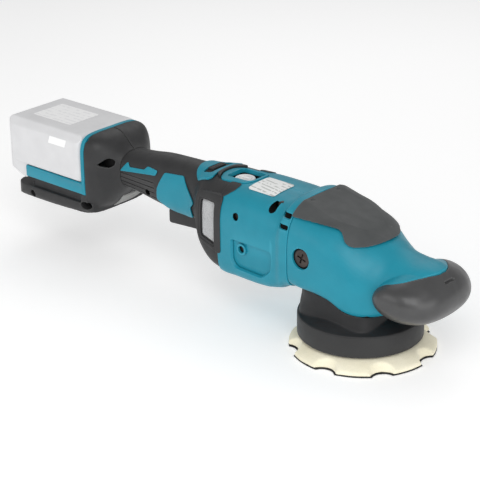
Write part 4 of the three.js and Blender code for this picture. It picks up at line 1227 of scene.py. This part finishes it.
# ---------------------------------------------------------------- handle
@dataclass
class Handle:
    """The rubber-covered handle in two halves, with its teal panels and ribs."""

    window: tuple[Point2, ...] = ((-146, 71), (-130, 66.5), (-130, 104.5), (-146, 105))
    screw: Point2 = (-229.0, 84.0)
    lock: tuple[float, float, float] = (-160.0, 7.0, 18.0)  # centre, length and width of the lock's hole
    switch_panel: tuple[Point2, ...] = (
        (-206, 108.3),
        (-183.7, 110.4),
        (-175.4, 99.7),
        (-166.7, 90.5),
        (-172.2, 85),
        (-170.7, 75.5),
        (-178, 72.5),
        (-194.5, 72.5),
        (-205.5, 74),
        (-216.3, 80.7),
        (-214.5, 92.4),
        (-210.2, 100.6),
    )
    insert: tuple[Point2, ...] = (
        (-261.6, 97.3),
        (-253.7, 106.9),
        (-250.2, 103),
        (-231.6, 105),
        (-228.3, 108.7),
        (-215.3, 107.6),
        (-216.8, 103.0),
    )
    ribs: tuple[float, ...] = (95.5, 91.0, 86.5, 81.8)  # heights of the grooves
    rib_span: Span = (-263.0, -219.5)
    wave: tuple[Point2, ...] = ((-126.2, 17.6), (-115.6, 17.4), (-114.2, 20), (-115.1, 26.7), (-119.3, 31), (-126.2, 34.5))

    def whole(self, dial_frame: Sequence[Point2]) -> Piece:
        """The handle before it is split."""
        shell = HANDLE.solid("handle", MOUNT_SEAM, HANDLE_SEAM - GAP, 0, 0.6)
        cut(shell, HANDLE.solid("inside", MOUNT_SEAM - 4, HANDLE_SEAM + 4, -WALL))
        cut(shell, plan_prism("dial_hole", dial_frame, 5, (100, 140)))
        cut(shell, side_prism("window", self.window, 3, (-REACH, REACH)))
        cut(shell, block("trigger_slot", (-213, -153), (-11, 11), (50, 80)))
        x, length, width = self.lock
        cut(shell, block("lock_hole", (x - length / 2, x + length / 2), (-width / 2, width / 2), (100, 130)))
        for z in self.ribs:
            for side in Side:
                self.groove(shell, z, side)
        return shell

    def groove(self, shell: Piece, z: float, side: Side) -> None:
        """Cuts one lengthwise groove of the grip."""
        first, last = self.rib_span
        out = min(HANDLE.side_at(x, z) for x in (first, last))
        reach = tuple(sorted((side.value * (out - 0.7), side.value * REACH)))
        sag = (z - 96) * 0.12
        line = [(first, z + 0.45 - sag), (last, z + 0.45 + sag), (last, z - 0.45 + sag), (first, z - 0.45 - sag)]
        cut(shell, side_prism("groove", line, 0.3, reach))

    def panel(self, name: str, outline: Sequence[Point2], thickness: float, side: Side) -> Piece:
        """A teal panel that follows the handle's skin."""
        piece = HANDLE.layer(name, -266, -162, 0.1, thickness)
        keep(piece, side_prism("outline", outline, 1.6, tuple(sorted((0, side.value * REACH)))))
        cut(piece, block("trigger_slot", (-230, -150), (-11, 11), (50, 80)))
        return thin_out(remould(piece, 0.3, 3), 0.4)

    def overmould(self, side: Side) -> Piece:
        """The wave of dark rubber that runs forward over the housing's shoulder."""
        piece = HOUSING.layer(f"shoulder_wave_{side.label}", -126.5, -108, 0.05, 0.7)
        keep(piece, plan_prism("outline", [(x, side.value * y) for x, y in self.wave], 1.5, (100, 140)))
        return remould(piece, 0.3, 3)

    def build(self, dial_frame: Sequence[Point2]) -> None:
        """Makes the handle's pieces."""
        whole = self.whole(dial_frame)
        right = half_of(whole, Side.RIGHT, "handle_moulding_right")
        left = half_of(whole, Side.LEFT, "handle_moulding_left")
        bpy.data.objects.remove(whole)
        x, z = self.screw
        join(right, rod("boss", 5, (x, -HANDLE.side_at(x, z) + 1.4, z), (x, -6, z), 32))
        cut(right, rod("hole", 2.9, (x, -REACH, z), (x, -9, z), 32))
        # a near-black lining, painted shade inside the screw's well
        shade_lining = rod("handle_well_shade_lining", 3.0, (x, -HANDLE.side_at(x, z) + 0.5, z), (x, -8.6, z), 32)
        cut(shade_lining, rod("bore", 2.7, (x, -REACH, z), (x, -9.2, z), 32))
        finished(shade_lining, Finish.PAINTED_SHADE, "root")
        for side, half in ((Side.RIGHT, right), (Side.LEFT, left)):
            finished(half, Finish.ELASTOMER, "root", [f"handle_{side.label}"])
            panel = self.panel(f"switch_cover_{side.label}", self.switch_panel, 1.5, side)
            finished(panel, Finish.TEAL, "root", [f"switch_panel_{side.label}"], 50)
            insert = self.panel(f"grip_flash_{side.label}", self.insert, 1.0, side)
            finished(insert, Finish.TEAL, "root", [f"grip_insert_{side.label}"], 50)
            finished(self.overmould(side), Finish.ELASTOMER, "root", [], 50)


# ---------------------------------------------------------------- controls on top
@dataclass
class Controls:
    """The lock-off button in its collar, the speed dial in its frame, and the rating label."""

    lock: tuple[float, float, float] = (-160.0, 6.0, 17.0)  # centre, length and width of the button
    collar: tuple[Point2, ...] = (
        (-175.5, 0),
        (-171.5, -14.5),
        (-163, -21.5),
        (-151, -23),
        (-147.2, -20),
        (-149.8, -8),
        (-149.8, 8),
        (-147.2, 20),
        (-151, 23),
        (-163, 21.5),
        (-171.5, 14.5),
    )
    track: tuple[Span, Span] = ((-163.4, -153.6), (-15.0, 15.0))
    dial_centre: float = -127.5
    dial_radius: float = 9.2
    opening: tuple[Point2, ...] = ((-138.5, -11.5), (-114, -11.5), (-110.8, -8), (-110.8, 9.5), (-138.5, 10.6))
    hood: tuple[Point2, ...] = (
        (-129, -16),
        (-141, -17.5),
        (-147.6, -13.5),
        (-149.4, -4),
        (-149.2, 7),
        (-147, 13),
        (-142, 16.5),
        (-137, 15.5),
    )
    label: tuple[Span, Span] = ((-105.5, -76), (-21.5, 6))

    def lock_collar(self) -> Piece:
        """The teal collar round the lock's track."""
        piece = HANDLE.layer("lock_surround", -190, -140, 0.1, 2.0)
        keep(piece, plan_prism("outline", self.collar, 6, (100, 140)))
        cut(piece, plan_prism("track", rectangle(*self.track), 3, (100, 140)))
        return thin_out(remould(piece, 0.35, 3), 0.5)

    def lock_track(self) -> Piece:
        """The black plate that the lock's button rises through."""
        centre, length, width = self.lock
        piece = HANDLE.layer("lock_track", -190, -140, 0.05, 0.6)
        (x0, x1), (y0, y1) = self.track
        keep(piece, plan_prism("outline", rectangle((x0 - 0.4, x1 + 0.4), (y0 - 0.4, y1 + 0.4)), 3, (100, 140)))
        slot = rectangle((centre - length / 2 - 0.4, centre + length / 2 + 0.4), (-width / 2 - 0.4, width / 2 + 0.4))
        cut(piece, plan_prism("slot", slot, 0.8, (100, 140)))
        for k in range(3):
            x = -156.2 + 1.5 * k
            cut(piece, block("groove", (x, x + 0.6), (y0 + 2, y1 - 2), (119.0, 130)))
        return piece

    def lock_button(self) -> Piece:
        """The cross button, with ridges for the thumb."""
        centre, length, width = self.lock
        piece = block("lock_off_slider", (centre - length / 2, centre + length / 2), (-width / 2, width / 2), (111, 121.2))
        bevelled(piece, 0.7, 3)
        for y in range(-6, 7, 3):
            cut(piece, rod("ridge", 0.7, (centre - 5, y, 121.6), (centre + 5, y, 121.6), 16))
        return piece

    def dial_frame(self, outline: Sequence[Point2]) -> Piece:
        """The teal frame with an open window over the dial."""
        inset = [(self.dial_centre + (x - self.dial_centre) * 0.975, y * 0.975) for x, y in outline]
        piece = HOUSING.layer("dial_surround", -156, -100, -3, 1.0)
        keep(piece, plan_prism("outline", inset, 5, (100, 140)))
        cut(piece, plan_prism("window", self.opening, 3, (100, 140)))
        return thin_out(remould(piece, 0.35, 3), 0.5)

    def dial_shade_well(self) -> Piece:
        """The near-black well under the frame's window, painted shade round the dial, with a bore for the dial."""
        outer = [(self.dial_centre + (x - self.dial_centre) * 1.08, y * 1.1) for x, y in self.opening]
        piece = plan_prism("dial_shade_well", outer, 3, (107.5, 117.2))
        cut(piece, plan_prism("space", self.opening, 3, (109.2, 130)))
        return bevelled(piece, 0.3, 2)

    def dial(self) -> Piece:
        """The dial: a dished disc with grip notches, tick marks and a pointer."""
        radius, x = self.dial_radius, self.dial_centre
        profile = [(0.0, 110.0), (radius - 0.4, 110.0), (radius, 110.6), (radius, 116.8), (radius - 0.8, 117.6)]
        profile += [(6.6, 117.6), (6.0, 117.1), (0.0, 117.0)]
        piece = spun("speed_wheel", profile, x, 96)
        for i in range(24):
            turn = math.tau * i / 24
            place = (x + radius * math.cos(turn), radius * math.sin(turn))
            cut(piece, rod("notch", 0.55, (*place, 112), (*place, 119), 10))
        join(piece, block("pointer", (x - 6.6, x + 6.6), (-0.9, 0.9), (116.5, 118.3)))
        for i in range(5):
            turn = math.radians(40 + 25 * i)
            tick = block("tick", (4.2, 5.6), (-0.3, 0.3), (116.7, 118))
            tick.data.transform(Matrix.Rotation(turn, 4, "Z"))
            tick.data.transform(Matrix.Translation(metres((x, 0, 0))))
            cut(piece, tick)
        return piece

    def hood_arch(self, outline: Sequence[Point2]) -> Piece:
        """The dark raised arch round the back of the dial frame."""
        piece = HANDLE.layer("dial_hood", -156, HANDLE_SEAM - 1, 0.1, 2.7)
        keep(piece, plan_prism("outline", self.hood, 5, (100, 140)))
        cut(piece, plan_prism("frame", [(x, y * 1.01) for x, y in outline], 5, (100, 140)))
        return thin_out(remould(piece, 0.35, 5), 0.5)

    def rating_label(self) -> Piece:
        """The printed film on the housing's right shoulder."""
        piece = HOUSING.layer("rating_film", -112, -60, GAP, 0.75)
        return keep(piece, plan_prism("outline", rectangle(*self.label), 3, (100, 140)))

    def build(self, outline: Sequence[Point2]) -> None:
        """Makes the controls."""
        finished(self.lock_collar(), Finish.TEAL, "root", ["lock_collar"], 50)
        finished(self.lock_track(), Finish.BLACK, "root")
        finished(self.lock_button(), Finish.BLACK, "lock_button", ["lock_button"])
        finished(self.dial_frame(outline), Finish.TEAL, "root", ["dial_frame"], 50)
        # the near-black well is painted shade round the dial
        finished(self.dial_shade_well(), Finish.PAINTED_SHADE, "root")
        finished(self.dial(), Finish.WHITE, "speed_dial", ["speed_dial"])
        finished(self.hood_arch(outline), Finish.ELASTOMER, "root", [], 50)
        finished(self.rating_label(), Finish.LABEL, "root", ["rating_label"])


# ---------------------------------------------------------------- air intakes
@dataclass
class AirIntake:
    """One removable intake frame with its wire screen and the filter felt behind it."""

    side: Side
    outline: tuple[Point2, ...] = (
        (-151.6, 88),
        (-150, 74),
        (-145, 67),
        (-121.6, 59.6),
        (-121.6, 112.6),
        (-151.6, 110.6),
    )
    window: tuple[Point2, ...] = ((-146, 71), (-130, 66.5), (-130, 104.5), (-146, 105))
    centre: Point2 = (-138.0, 87.0)
    cells: tuple[int, int] = (19, 39)  # openings of the screen along x and z
    wire: float = 0.34

    def frame(self) -> Piece:
        """The rubber frame: a rounded rim with a step down to the screen."""
        piece = HANDLE.layer(f"intake_rim_{self.side.label}", -160, -119, 0.1, 3.2)
        cut(piece, HOUSING.solid("housing", HANDLE_SEAM - 0.1, -100, 0.1))
        reach = tuple(sorted((0, self.side.value * REACH)))
        keep(piece, side_prism("outline", self.outline, 5, reach))
        cut(piece, side_prism("window", self.window, 2.4, reach))
        grown = [(self.centre[0] + (x - self.centre[0]) * 1.22, self.centre[1] + (z - self.centre[1]) * 1.1) for x, z in self.window]
        step = side_prism("step", grown, 3.4, reach)
        cut(step, HANDLE.solid("below", -170, -110, 2.2))
        cut(piece, step)
        return thin_out(remould(piece, 0.35, 3), 0.6)

    def on_skin(self, across: float, up: float, depth: float) -> Point3:
        """A point of the window by its shares across and up, below the handle's skin."""
        (x0, z0), (x1, z1), (_, z2), (_, z3) = self.window
        grip = 0.965
        x = self.centre[0] + (x0 + (x1 - x0) * across - self.centre[0]) * grip
        low = z0 + (z1 - z0) * across
        high = z3 + (z2 - z3) * across
        z = self.centre[1] + (low + (high - low) * up - self.centre[1]) * grip
        return (x, self.side.value * (HANDLE.side_at(x, z) - depth), z)

    def sheet(self, name: str, cells: tuple[int, int], depth: float) -> Piece:
        """A sheet over the window, at a depth below the skin."""
        bpy.ops.object.select_all(action="DESELECT")
        bpy.ops.mesh.primitive_grid_add(x_subdivisions=cells[0], y_subdivisions=cells[1], size=1)
        piece = bpy.context.object
        piece.name = name
        for vertex in piece.data.vertices:
            vertex.co = metres(self.on_skin(vertex.co.x + 0.5, vertex.co.y + 0.5, depth))
        return piece

    def screen(self) -> Piece:
        """The wire screen."""
        piece = self.sheet(f"intake_wire_{self.side.label}", self.cells, 0.7)
        lattice = piece.modifiers.new("wires", "WIREFRAME")
        lattice.thickness = self.wire * MM
        lattice.use_boundary = True
        focus(piece)
        bpy.ops.object.modifier_apply(modifier=lattice.name)
        tidy_normals(piece)
        return piece

    def felt(self) -> Piece:
        """The pale filter felt behind the screen."""
        piece = self.sheet(f"intake_felt_{self.side.label}", (12, 24), 1.35)
        thick = piece.modifiers.new("thick", "SOLIDIFY")
        thick.thickness = 0.5 * MM
        thick.offset = 0
        focus(piece)
        bpy.ops.object.modifier_apply(modifier=thick.name)
        tidy_normals(piece)
        return piece

    def build(self) -> None:
        """Makes the intake's pieces, which pull out together."""
        body = f"intake_{self.side.label}"
        finished(self.frame(), Finish.ELASTOMER, body, [f"intake_frame_{self.side.label}"], 50)
        finished(self.screen(), Finish.SCREEN, body, [f"intake_mesh_{self.side.label}"])
        finished(self.felt(), Finish.FELT, body)


# ---------------------------------------------------------------- trigger
@dataclass
class Trigger:
    """The paddle trigger under the handle."""

    outline: tuple[Point2, ...] = (
        (-211.5, 56.6),
        (-211.5, 71),
        (-172, 73.5),
        (-162, 79.5),
        (-155.5, 78.5),
        (-155.5, 68),
        (-164, 61),
        (-176, 59),
    )
    half: float = 9.9

    def build(self) -> None:
        """Makes the trigger."""
        piece = side_prism("trigger_paddle", self.outline, 3, (-self.half, self.half))
        bevelled(piece, 1.6, 4, 50)
        cut(piece, rod("spring_pocket", 5.4, (-194, 0, 65.5), (-194, 0, 82), 24))
        piece = thin_out(remould(piece, 0.5, 3), 0.5)
        finished(piece, Finish.ELASTOMER, "trigger", ["trigger"], 60)


# ---------------------------------------------------------------- battery mount
@dataclass
class BatteryMount:
    """The dark shroud and foot that hold the battery, and the teal cradle that it slides on."""

    screw: Point2 = (-270.0, 104.0)
    foot_hole: Point2 = (-363.0, 55.0)
    oval_hole: Point2 = (-291.0, 60.5)
    foot_span: Span = (-388.0, -280.0)
    foot_half: float = 38.4
    rail_low: float = 71.0
    rail_high: float = 82.2
    rail_rear: float = -370.0

    def outer(self) -> Piece:
        """The shroud, foot and rail band as one moulding."""
        piece = MOUNT.solid("mount", MOUNT_FACE, MOUNT_SEAM - 0.1, 0, 0.5)
        foot = FOOT.solid("foot", self.foot_span[0], -284)
        keep(foot, plan_prism("plan", rectangle(self.foot_span, (-self.foot_half, self.foot_half)), 16, (0, 100)))
        join(piece, foot)
        join(piece, plan_prism("band", rectangle((-368, -288), (-34, 34)), 6, (61, self.rail_low - GAP)))
        hollow = MOUNT.solid("hollow", MOUNT_FACE - 4, MOUNT_SEAM + 3, -WALL)
        keep(hollow, block("room", (MOUNT_FACE + 5, -200), (-36, 36), (52, 124)))
        cut(piece, hollow)
        cut(piece, block("mouth", (-300, MOUNT_FACE + 6), (-34.5, 34.5), (66, 124.5)))
        cut(piece, plan_prism("under", rectangle((-384, -300), (-34.4, 34.4)), 13, (30, 59.5)))
        join(piece, plan_prism("sole", rectangle((-386.5, -286), (-36.6, 36.6)), 14, (52.5, 54.5)))
        seat = MOUNT.solid("seat", MOUNT_FACE - 1, MOUNT_FACE + 4.3, 1)
        cut(piece, keep(seat, block("above", (-300, -280), (-60, 60), (self.rail_low, 140))))
        return join(piece, block("corner", (-297, -288.5), (-37.4, 37.4), (60, self.rail_low - GAP)))

    def holes(self) -> list[Piece]:
        """The screw wells on the right side."""
        x, z = self.screw
        drop = [(x - 7.2, z - 1.5)]
        drop += [(x + 4 * math.cos(t), z + 4 * math.sin(t)) for t in (math.radians(a) for a in range(-110, 120, 15))]
        made = [loft("drop", [[(px, y, pz) for px, pz in drop] for y in (-REACH, -19.0)])]
        x, z = self.foot_hole
        made.append(rod("foot_well", 3.3, (x, -REACH, z), (x, -30, z), 32))
        x, z = self.oval_hole
        oval = [(x + 6 * math.cos(t), z + 3.3 * math.sin(t)) for t in (math.tau * k / 40 for k in range(40))]
        made.append(loft("oval", [[(px, y, pz) for px, pz in oval] for y in (-REACH, -27.0)]))
        return made

    def shade_floors(self) -> Piece:
        """Near-black floors behind the wells, painted shade, so that they end in the moulding."""
        x, z = self.screw
        piece = rod("well_floor", 9, (x - 1, -22.4, z), (x - 1, -19.4, z), 32)
        x, z = self.oval_hole
        join(piece, rod("well_floor_oval", 8, (x, -28.6, z), (x, -25, z), 32))
        keep(piece, MOUNT.solid("limit", MOUNT_FACE + 4.6, MOUNT_SEAM, -0.8))
        x, z = self.foot_hole
        return join(piece, rod("foot_floor", 4.2, (x, -36.0, z), (x, -33.4, z), 32))

    def cradle(self) -> Piece:
        """The teal edge round the battery's face, with its rails and floor."""
        piece = MOUNT.solid("cradle", MOUNT_FACE, MOUNT_FACE + 4, 0, 0.5)
        keep(piece, block("above", (-300, -280), (-60, 60), (self.rail_low + GAP, 140)))
        low, high = self.rail_low + GAP, self.rail_high - GAP
        for side in Side:
            span = tuple(sorted((side.value * 34.6, side.value * 38.4)))
            join(piece, bevelled(block("rail", (self.rail_rear, MOUNT_FACE + 1), span, (low, high)), 0.8, 3))
        join(piece, block("floor", (self.rail_rear, MOUNT_FACE + 1), (-36, 36), (low, 74)))
        cut(piece, block("gate", (-300, -280), (-20, 20), (84, 106)))
        return piece

    def pale_highlight_patch(self) -> Piece:
        """The ribbed lower front corner of the shroud, coloured pale grey as a painted highlight."""
        piece = MOUNT.layer("ribbed_highlight_patch", -292, -262, 0.05, 1.2)
        outline = [(-286, 40), (-286, 57), (-279, 64.5), (-273, 69.0), (-271.5, 66), (-273, 40)]
        keep(piece, side_prism("outline", outline, 2, (-8, 30)))
        for k in range(8):
            x = -287.6 + 2.1 * k
            cut(piece, block("painted_highlight", (x, x + 1.0), (-40, 40), (40, 80)))
        return piece

    def build(self) -> None:
        """Makes the mount's halves and the cradle's halves."""
        whole = self.outer()
        right = half_of(whole, Side.RIGHT, "shroud_right")
        left = half_of(whole, Side.LEFT, "shroud_left")
        bpy.data.objects.remove(whole)
        cut(right, *self.holes())
        for side, half in ((Side.RIGHT, right), (Side.LEFT, left)):
            half = thin_out(remould(half, 0.7, 4), 0.5)
            finished(half, Finish.ELASTOMER, "root", [f"battery_mount_{side.label}"], 50)
        # near-black floors: painted shade in the wells
        finished(self.shade_floors(), Finish.PAINTED_SHADE, "root")
        whole = self.cradle()
        for side in Side:
            half = half_of(whole, side, f"cradle_rail_{side.label}")
            finished(half, Finish.TEAL, "root", [f"cradle_{side.label}"])
        bpy.data.objects.remove(whole)
        # the pale grey ribbed patch is a painted highlight on the dark shroud
        finished(self.pale_highlight_patch(), Finish.PAINTED_HIGHLIGHT, "root")


# ---------------------------------------------------------------- battery
@dataclass
class BatteryPack:
    """The pale slide-on battery with its blank labels and release button."""

    rear: float = -394.8
    front: float = MOUNT_FACE - GAP
    half: float = 37.4
    top: float = 125.9
    low: float = 82.4
    film: tuple[Span, Span] = ((-378.5, -327.5), (-18.5, 19.5))
    badge: tuple[Point2, ...] = ((-337.5, 111.6), (-335, 118.8), (-312.8, 118.8), (-315.5, 111.6))

    def case(self) -> Piece:
        """The moulded case."""
        side, top = self.half, self.top
        section = [(-side, self.low), (-side, 118.8), (-side + 5.2, top), (side - 5.2, top), (side, 118.8)]
        section += [(side, self.low), (33.8, self.low), (33.8, 74.4), (-33.8, 74.4), (-33.8, self.low)]
        ring = rounded(section, 1.4, 4)
        piece = loft("pack_case", [[(x, y, z) for y, z in ring] for x in (self.rear, self.front)])
        chin = [(self.rear + 1, 90), (self.rear + 2, 76), (self.rear + 20, 68.8), (-370.8, 68.8), (-370.8, 90)]
        join(piece, side_prism("chin", chin, 3, (-side + 0.8, side - 0.8)))
        keep(piece, plan_prism("plan", rectangle((self.rear, self.front), (-side, side)), 8, (60, 140)))
        view = [(self.rear, 60), (self.front, 60), (self.front, top), (self.rear + 2, top), (self.rear, top - 6)]
        keep(piece, side_prism("profile", view, 8, (-REACH, REACH)))
        cut(piece, block("cells", (self.rear + 9, self.front - 3), (-side + 3, side - 3), (87.3, 120.5)))
        cut(piece, block("contacts", (self.front - 14, self.front + 2), (-15, 15), (88, 100)))
        cut(piece, block("button_seat", (self.rear - 2, self.rear + 6.5), (-15.5, 15.5), (94, 111.5)))
        cut(piece, plan_prism("film_seat", rectangle(*self.film), 2, (top - 0.5, 140)))
        for y in (-side, side):
            reach = tuple(sorted((y * 0.994, y * 1.2)))
            cut(piece, block("crease", (self.rear + 4, self.front - 4), reach, (119.2, 119.7)))
        return thin_out(remould(piece, 0.55, 3), 0.35)

    def top_film(self) -> Piece:
        """The blank white film set into the top."""
        (x0, x1), (y0, y1) = self.film
        outline = rectangle((x0 + 0.3, x1 - 0.3), (y0 + 0.3, y1 - 0.3))
        return plan_prism("pack_film", outline, 2, (self.top - 0.6, self.top - 0.12))

    def side_badge(self, side: Side) -> Piece:
        """A blank white badge on a side."""
        reach = tuple(sorted((side.value * (self.half - 0.3), side.value * (self.half + 0.06))))
        return side_prism(f"pack_badge_{side.label}", self.badge, 0.4, reach)

    def button(self) -> Piece:
        """The release button, with ridges."""
        piece = block("release_button", (self.rear + 0.4, self.rear + 5.8), (-15, 15), (97.5, 111))
        bevelled(piece, 1.0, 3)
        for k in range(4):
            z = 100.5 + 2.6 * k
            cut(piece, rod("ridge", 0.6, (self.rear + 0.2, -10, z), (self.rear + 0.2, 10, z), 16))
        return piece

    def build(self) -> None:
        """Makes the battery's pieces."""
        finished(self.case(), Finish.BATTERY, "battery", ["battery_case"], 50)
        finished(self.top_film(), Finish.PACK_LABEL, "battery")
        for side in Side:
            finished(self.side_badge(side), Finish.PACK_LABEL, "battery")
        finished(self.button(), Finish.BLACK, "battery_button", ["battery_button"])


# ---------------------------------------------------------------- inside
SLOT_FINISHES = {
    "steel": Finish.STEEL,
    "alloy": Finish.ALLOY,
    "copper_core": Finish.COPPER,
    "circuit_board": Finish.BOARD,
    "black_nylon": Finish.BLACK,
    "dark_screw": Finish.SCREW,
    "cell_can": Finish.CELL,
}


def dress_internals(nodes: dict[str, Piece], slots: dict[str, str]) -> None:
    """Gives every CAD node that stays its finish.

    Args:
        nodes: the CAD nodes by name.
        slots: each node's material slot in the record.
    """
    for name, node in nodes.items():
        if node.hide_render:
            continue
        finish = SLOT_FINISHES[slots[name]]
        node.data.materials.clear()
        node.data.materials.append(finish.material())
        log.info("%s keeps its CAD shape, in %s", name, finish.name.lower())


# ---------------------------------------------------------------- studio
@dataclass
class Studio:
    """A pale floor, soft lights and the camera."""

    camera_place: Point3 = (788.7, -1018.8, 642.9)
    azimuth: float = 42.18
    elevation: float = 23.07
    roll: float = -0.84
    lens: float = 128.0
    target: Point3 = (-150.0, 0.0, 70.0)

    def floor(self) -> None:
        """The floor that the pad rests on."""
        bpy.ops.object.select_all(action="DESELECT")
        bpy.ops.mesh.primitive_plane_add(size=8, location=(0, 0, 0))
        floor = bpy.context.object
        floor.name = "floor"
        shader = Shader("studio_floor")
        tone = shader.ramp(shader.noise(1.5, 2), 0.3, 0.7)
        shader.link(shader.blend(tone, (0.93, 0.93, 0.93), (0.95, 0.95, 0.95)), shader.surface.inputs["Base Color"])
        shader.set("Roughness", 0.9)
        shader.set("Specular IOR Level", 0.1)
        shader.set("Emission Strength", 0.26)
        shader.surface.inputs["Emission Color"].default_value = (1, 1, 1, 1)
        floor.data.materials.append(shader.made)

    def light(self, name: str, place: Point3, size: Span, watts: float) -> None:
        """A soft rectangular light that faces the tool."""
        lamp = bpy.data.lights.new(name, "AREA")
        lamp.shape = "RECTANGLE"
        lamp.size, lamp.size_y = size
        lamp.energy = watts
        holder = bpy.data.objects.new(name, lamp)
        holder.location = metres(place)
        away = metres(place) - metres(self.target)
        holder.rotation_euler = away.to_track_quat("Z", "Y").to_euler()
        bpy.context.collection.objects.link(holder)

    def world(self, strength: float) -> None:
        """An even white surround."""
        world = bpy.context.scene.world or bpy.data.worlds.new("surround")
        bpy.context.scene.world = world
        world.use_nodes = True
        background = world.node_tree.nodes["Background"]
        background.inputs["Color"].default_value = (1, 1, 1, 1)
        background.inputs["Strength"].default_value = strength

    def camera(self) -> None:
        """The camera, from its azimuth, elevation and roll."""
        turn, rise, roll = (math.radians(v) for v in (self.azimuth, self.elevation, self.roll))
        back = Vector((math.sin(turn) * math.cos(rise), -math.cos(turn) * math.cos(rise), math.sin(rise)))
        right = Vector((math.cos(turn), math.sin(turn), 0))
        up = back.cross(right)
        across = math.cos(roll) * right + math.sin(roll) * up
        upright = -math.sin(roll) * right + math.cos(roll) * up
        camera = bpy.data.objects.new("camera", bpy.data.cameras.new("camera"))
        camera.data.lens = self.lens
        camera.data.sensor_width = 36
        camera.data.clip_start = 0.05
        facing = Matrix((across, upright, back)).transposed().to_4x4()
        camera.matrix_world = Matrix.Translation(metres(self.camera_place)) @ facing
        bpy.context.collection.objects.link(camera)
        bpy.context.scene.camera = camera

    def build(self) -> None:
        """Makes the studio."""
        bpy.context.scene.view_settings.view_transform = "Standard"
        self.floor()
        self.world(0.45)
        self.light("key", (700, -900, 1100), (0.9, 0.9), 9)
        self.light("front", (900, -300, 300), (0.7, 0.5), 2)
        self.light("side", (-500, -1000, 500), (0.9, 0.6), 2.2)
        self.light("rear", (-500, 700, 900), (0.8, 0.8), 2)
        self.camera()


# ---------------------------------------------------------------- the tool
def main() -> None:
    """Builds the tool around its frame, and the studio."""
    logging.basicConfig(level=logging.INFO, format="%(message)s")
    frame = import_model()
    Studio().build()
    housing = MotorHousing()
    BackingPad().build()
    NeckAndSkirt().build()
    Head().build()
    housing.build()
    Handle().build(housing.dial_frame)
    Controls().build(housing.dial_frame)
    for side in Side:
        AirIntake(side).build()
    Trigger().build()
    BatteryMount().build()
    BatteryPack().build()
    slots = {part["node"]: part["material_slot"] for part in frame["record"]["subparts"]}
    dress_internals(frame["nodes"], slots)


if __name__ == "__main__":
    main()
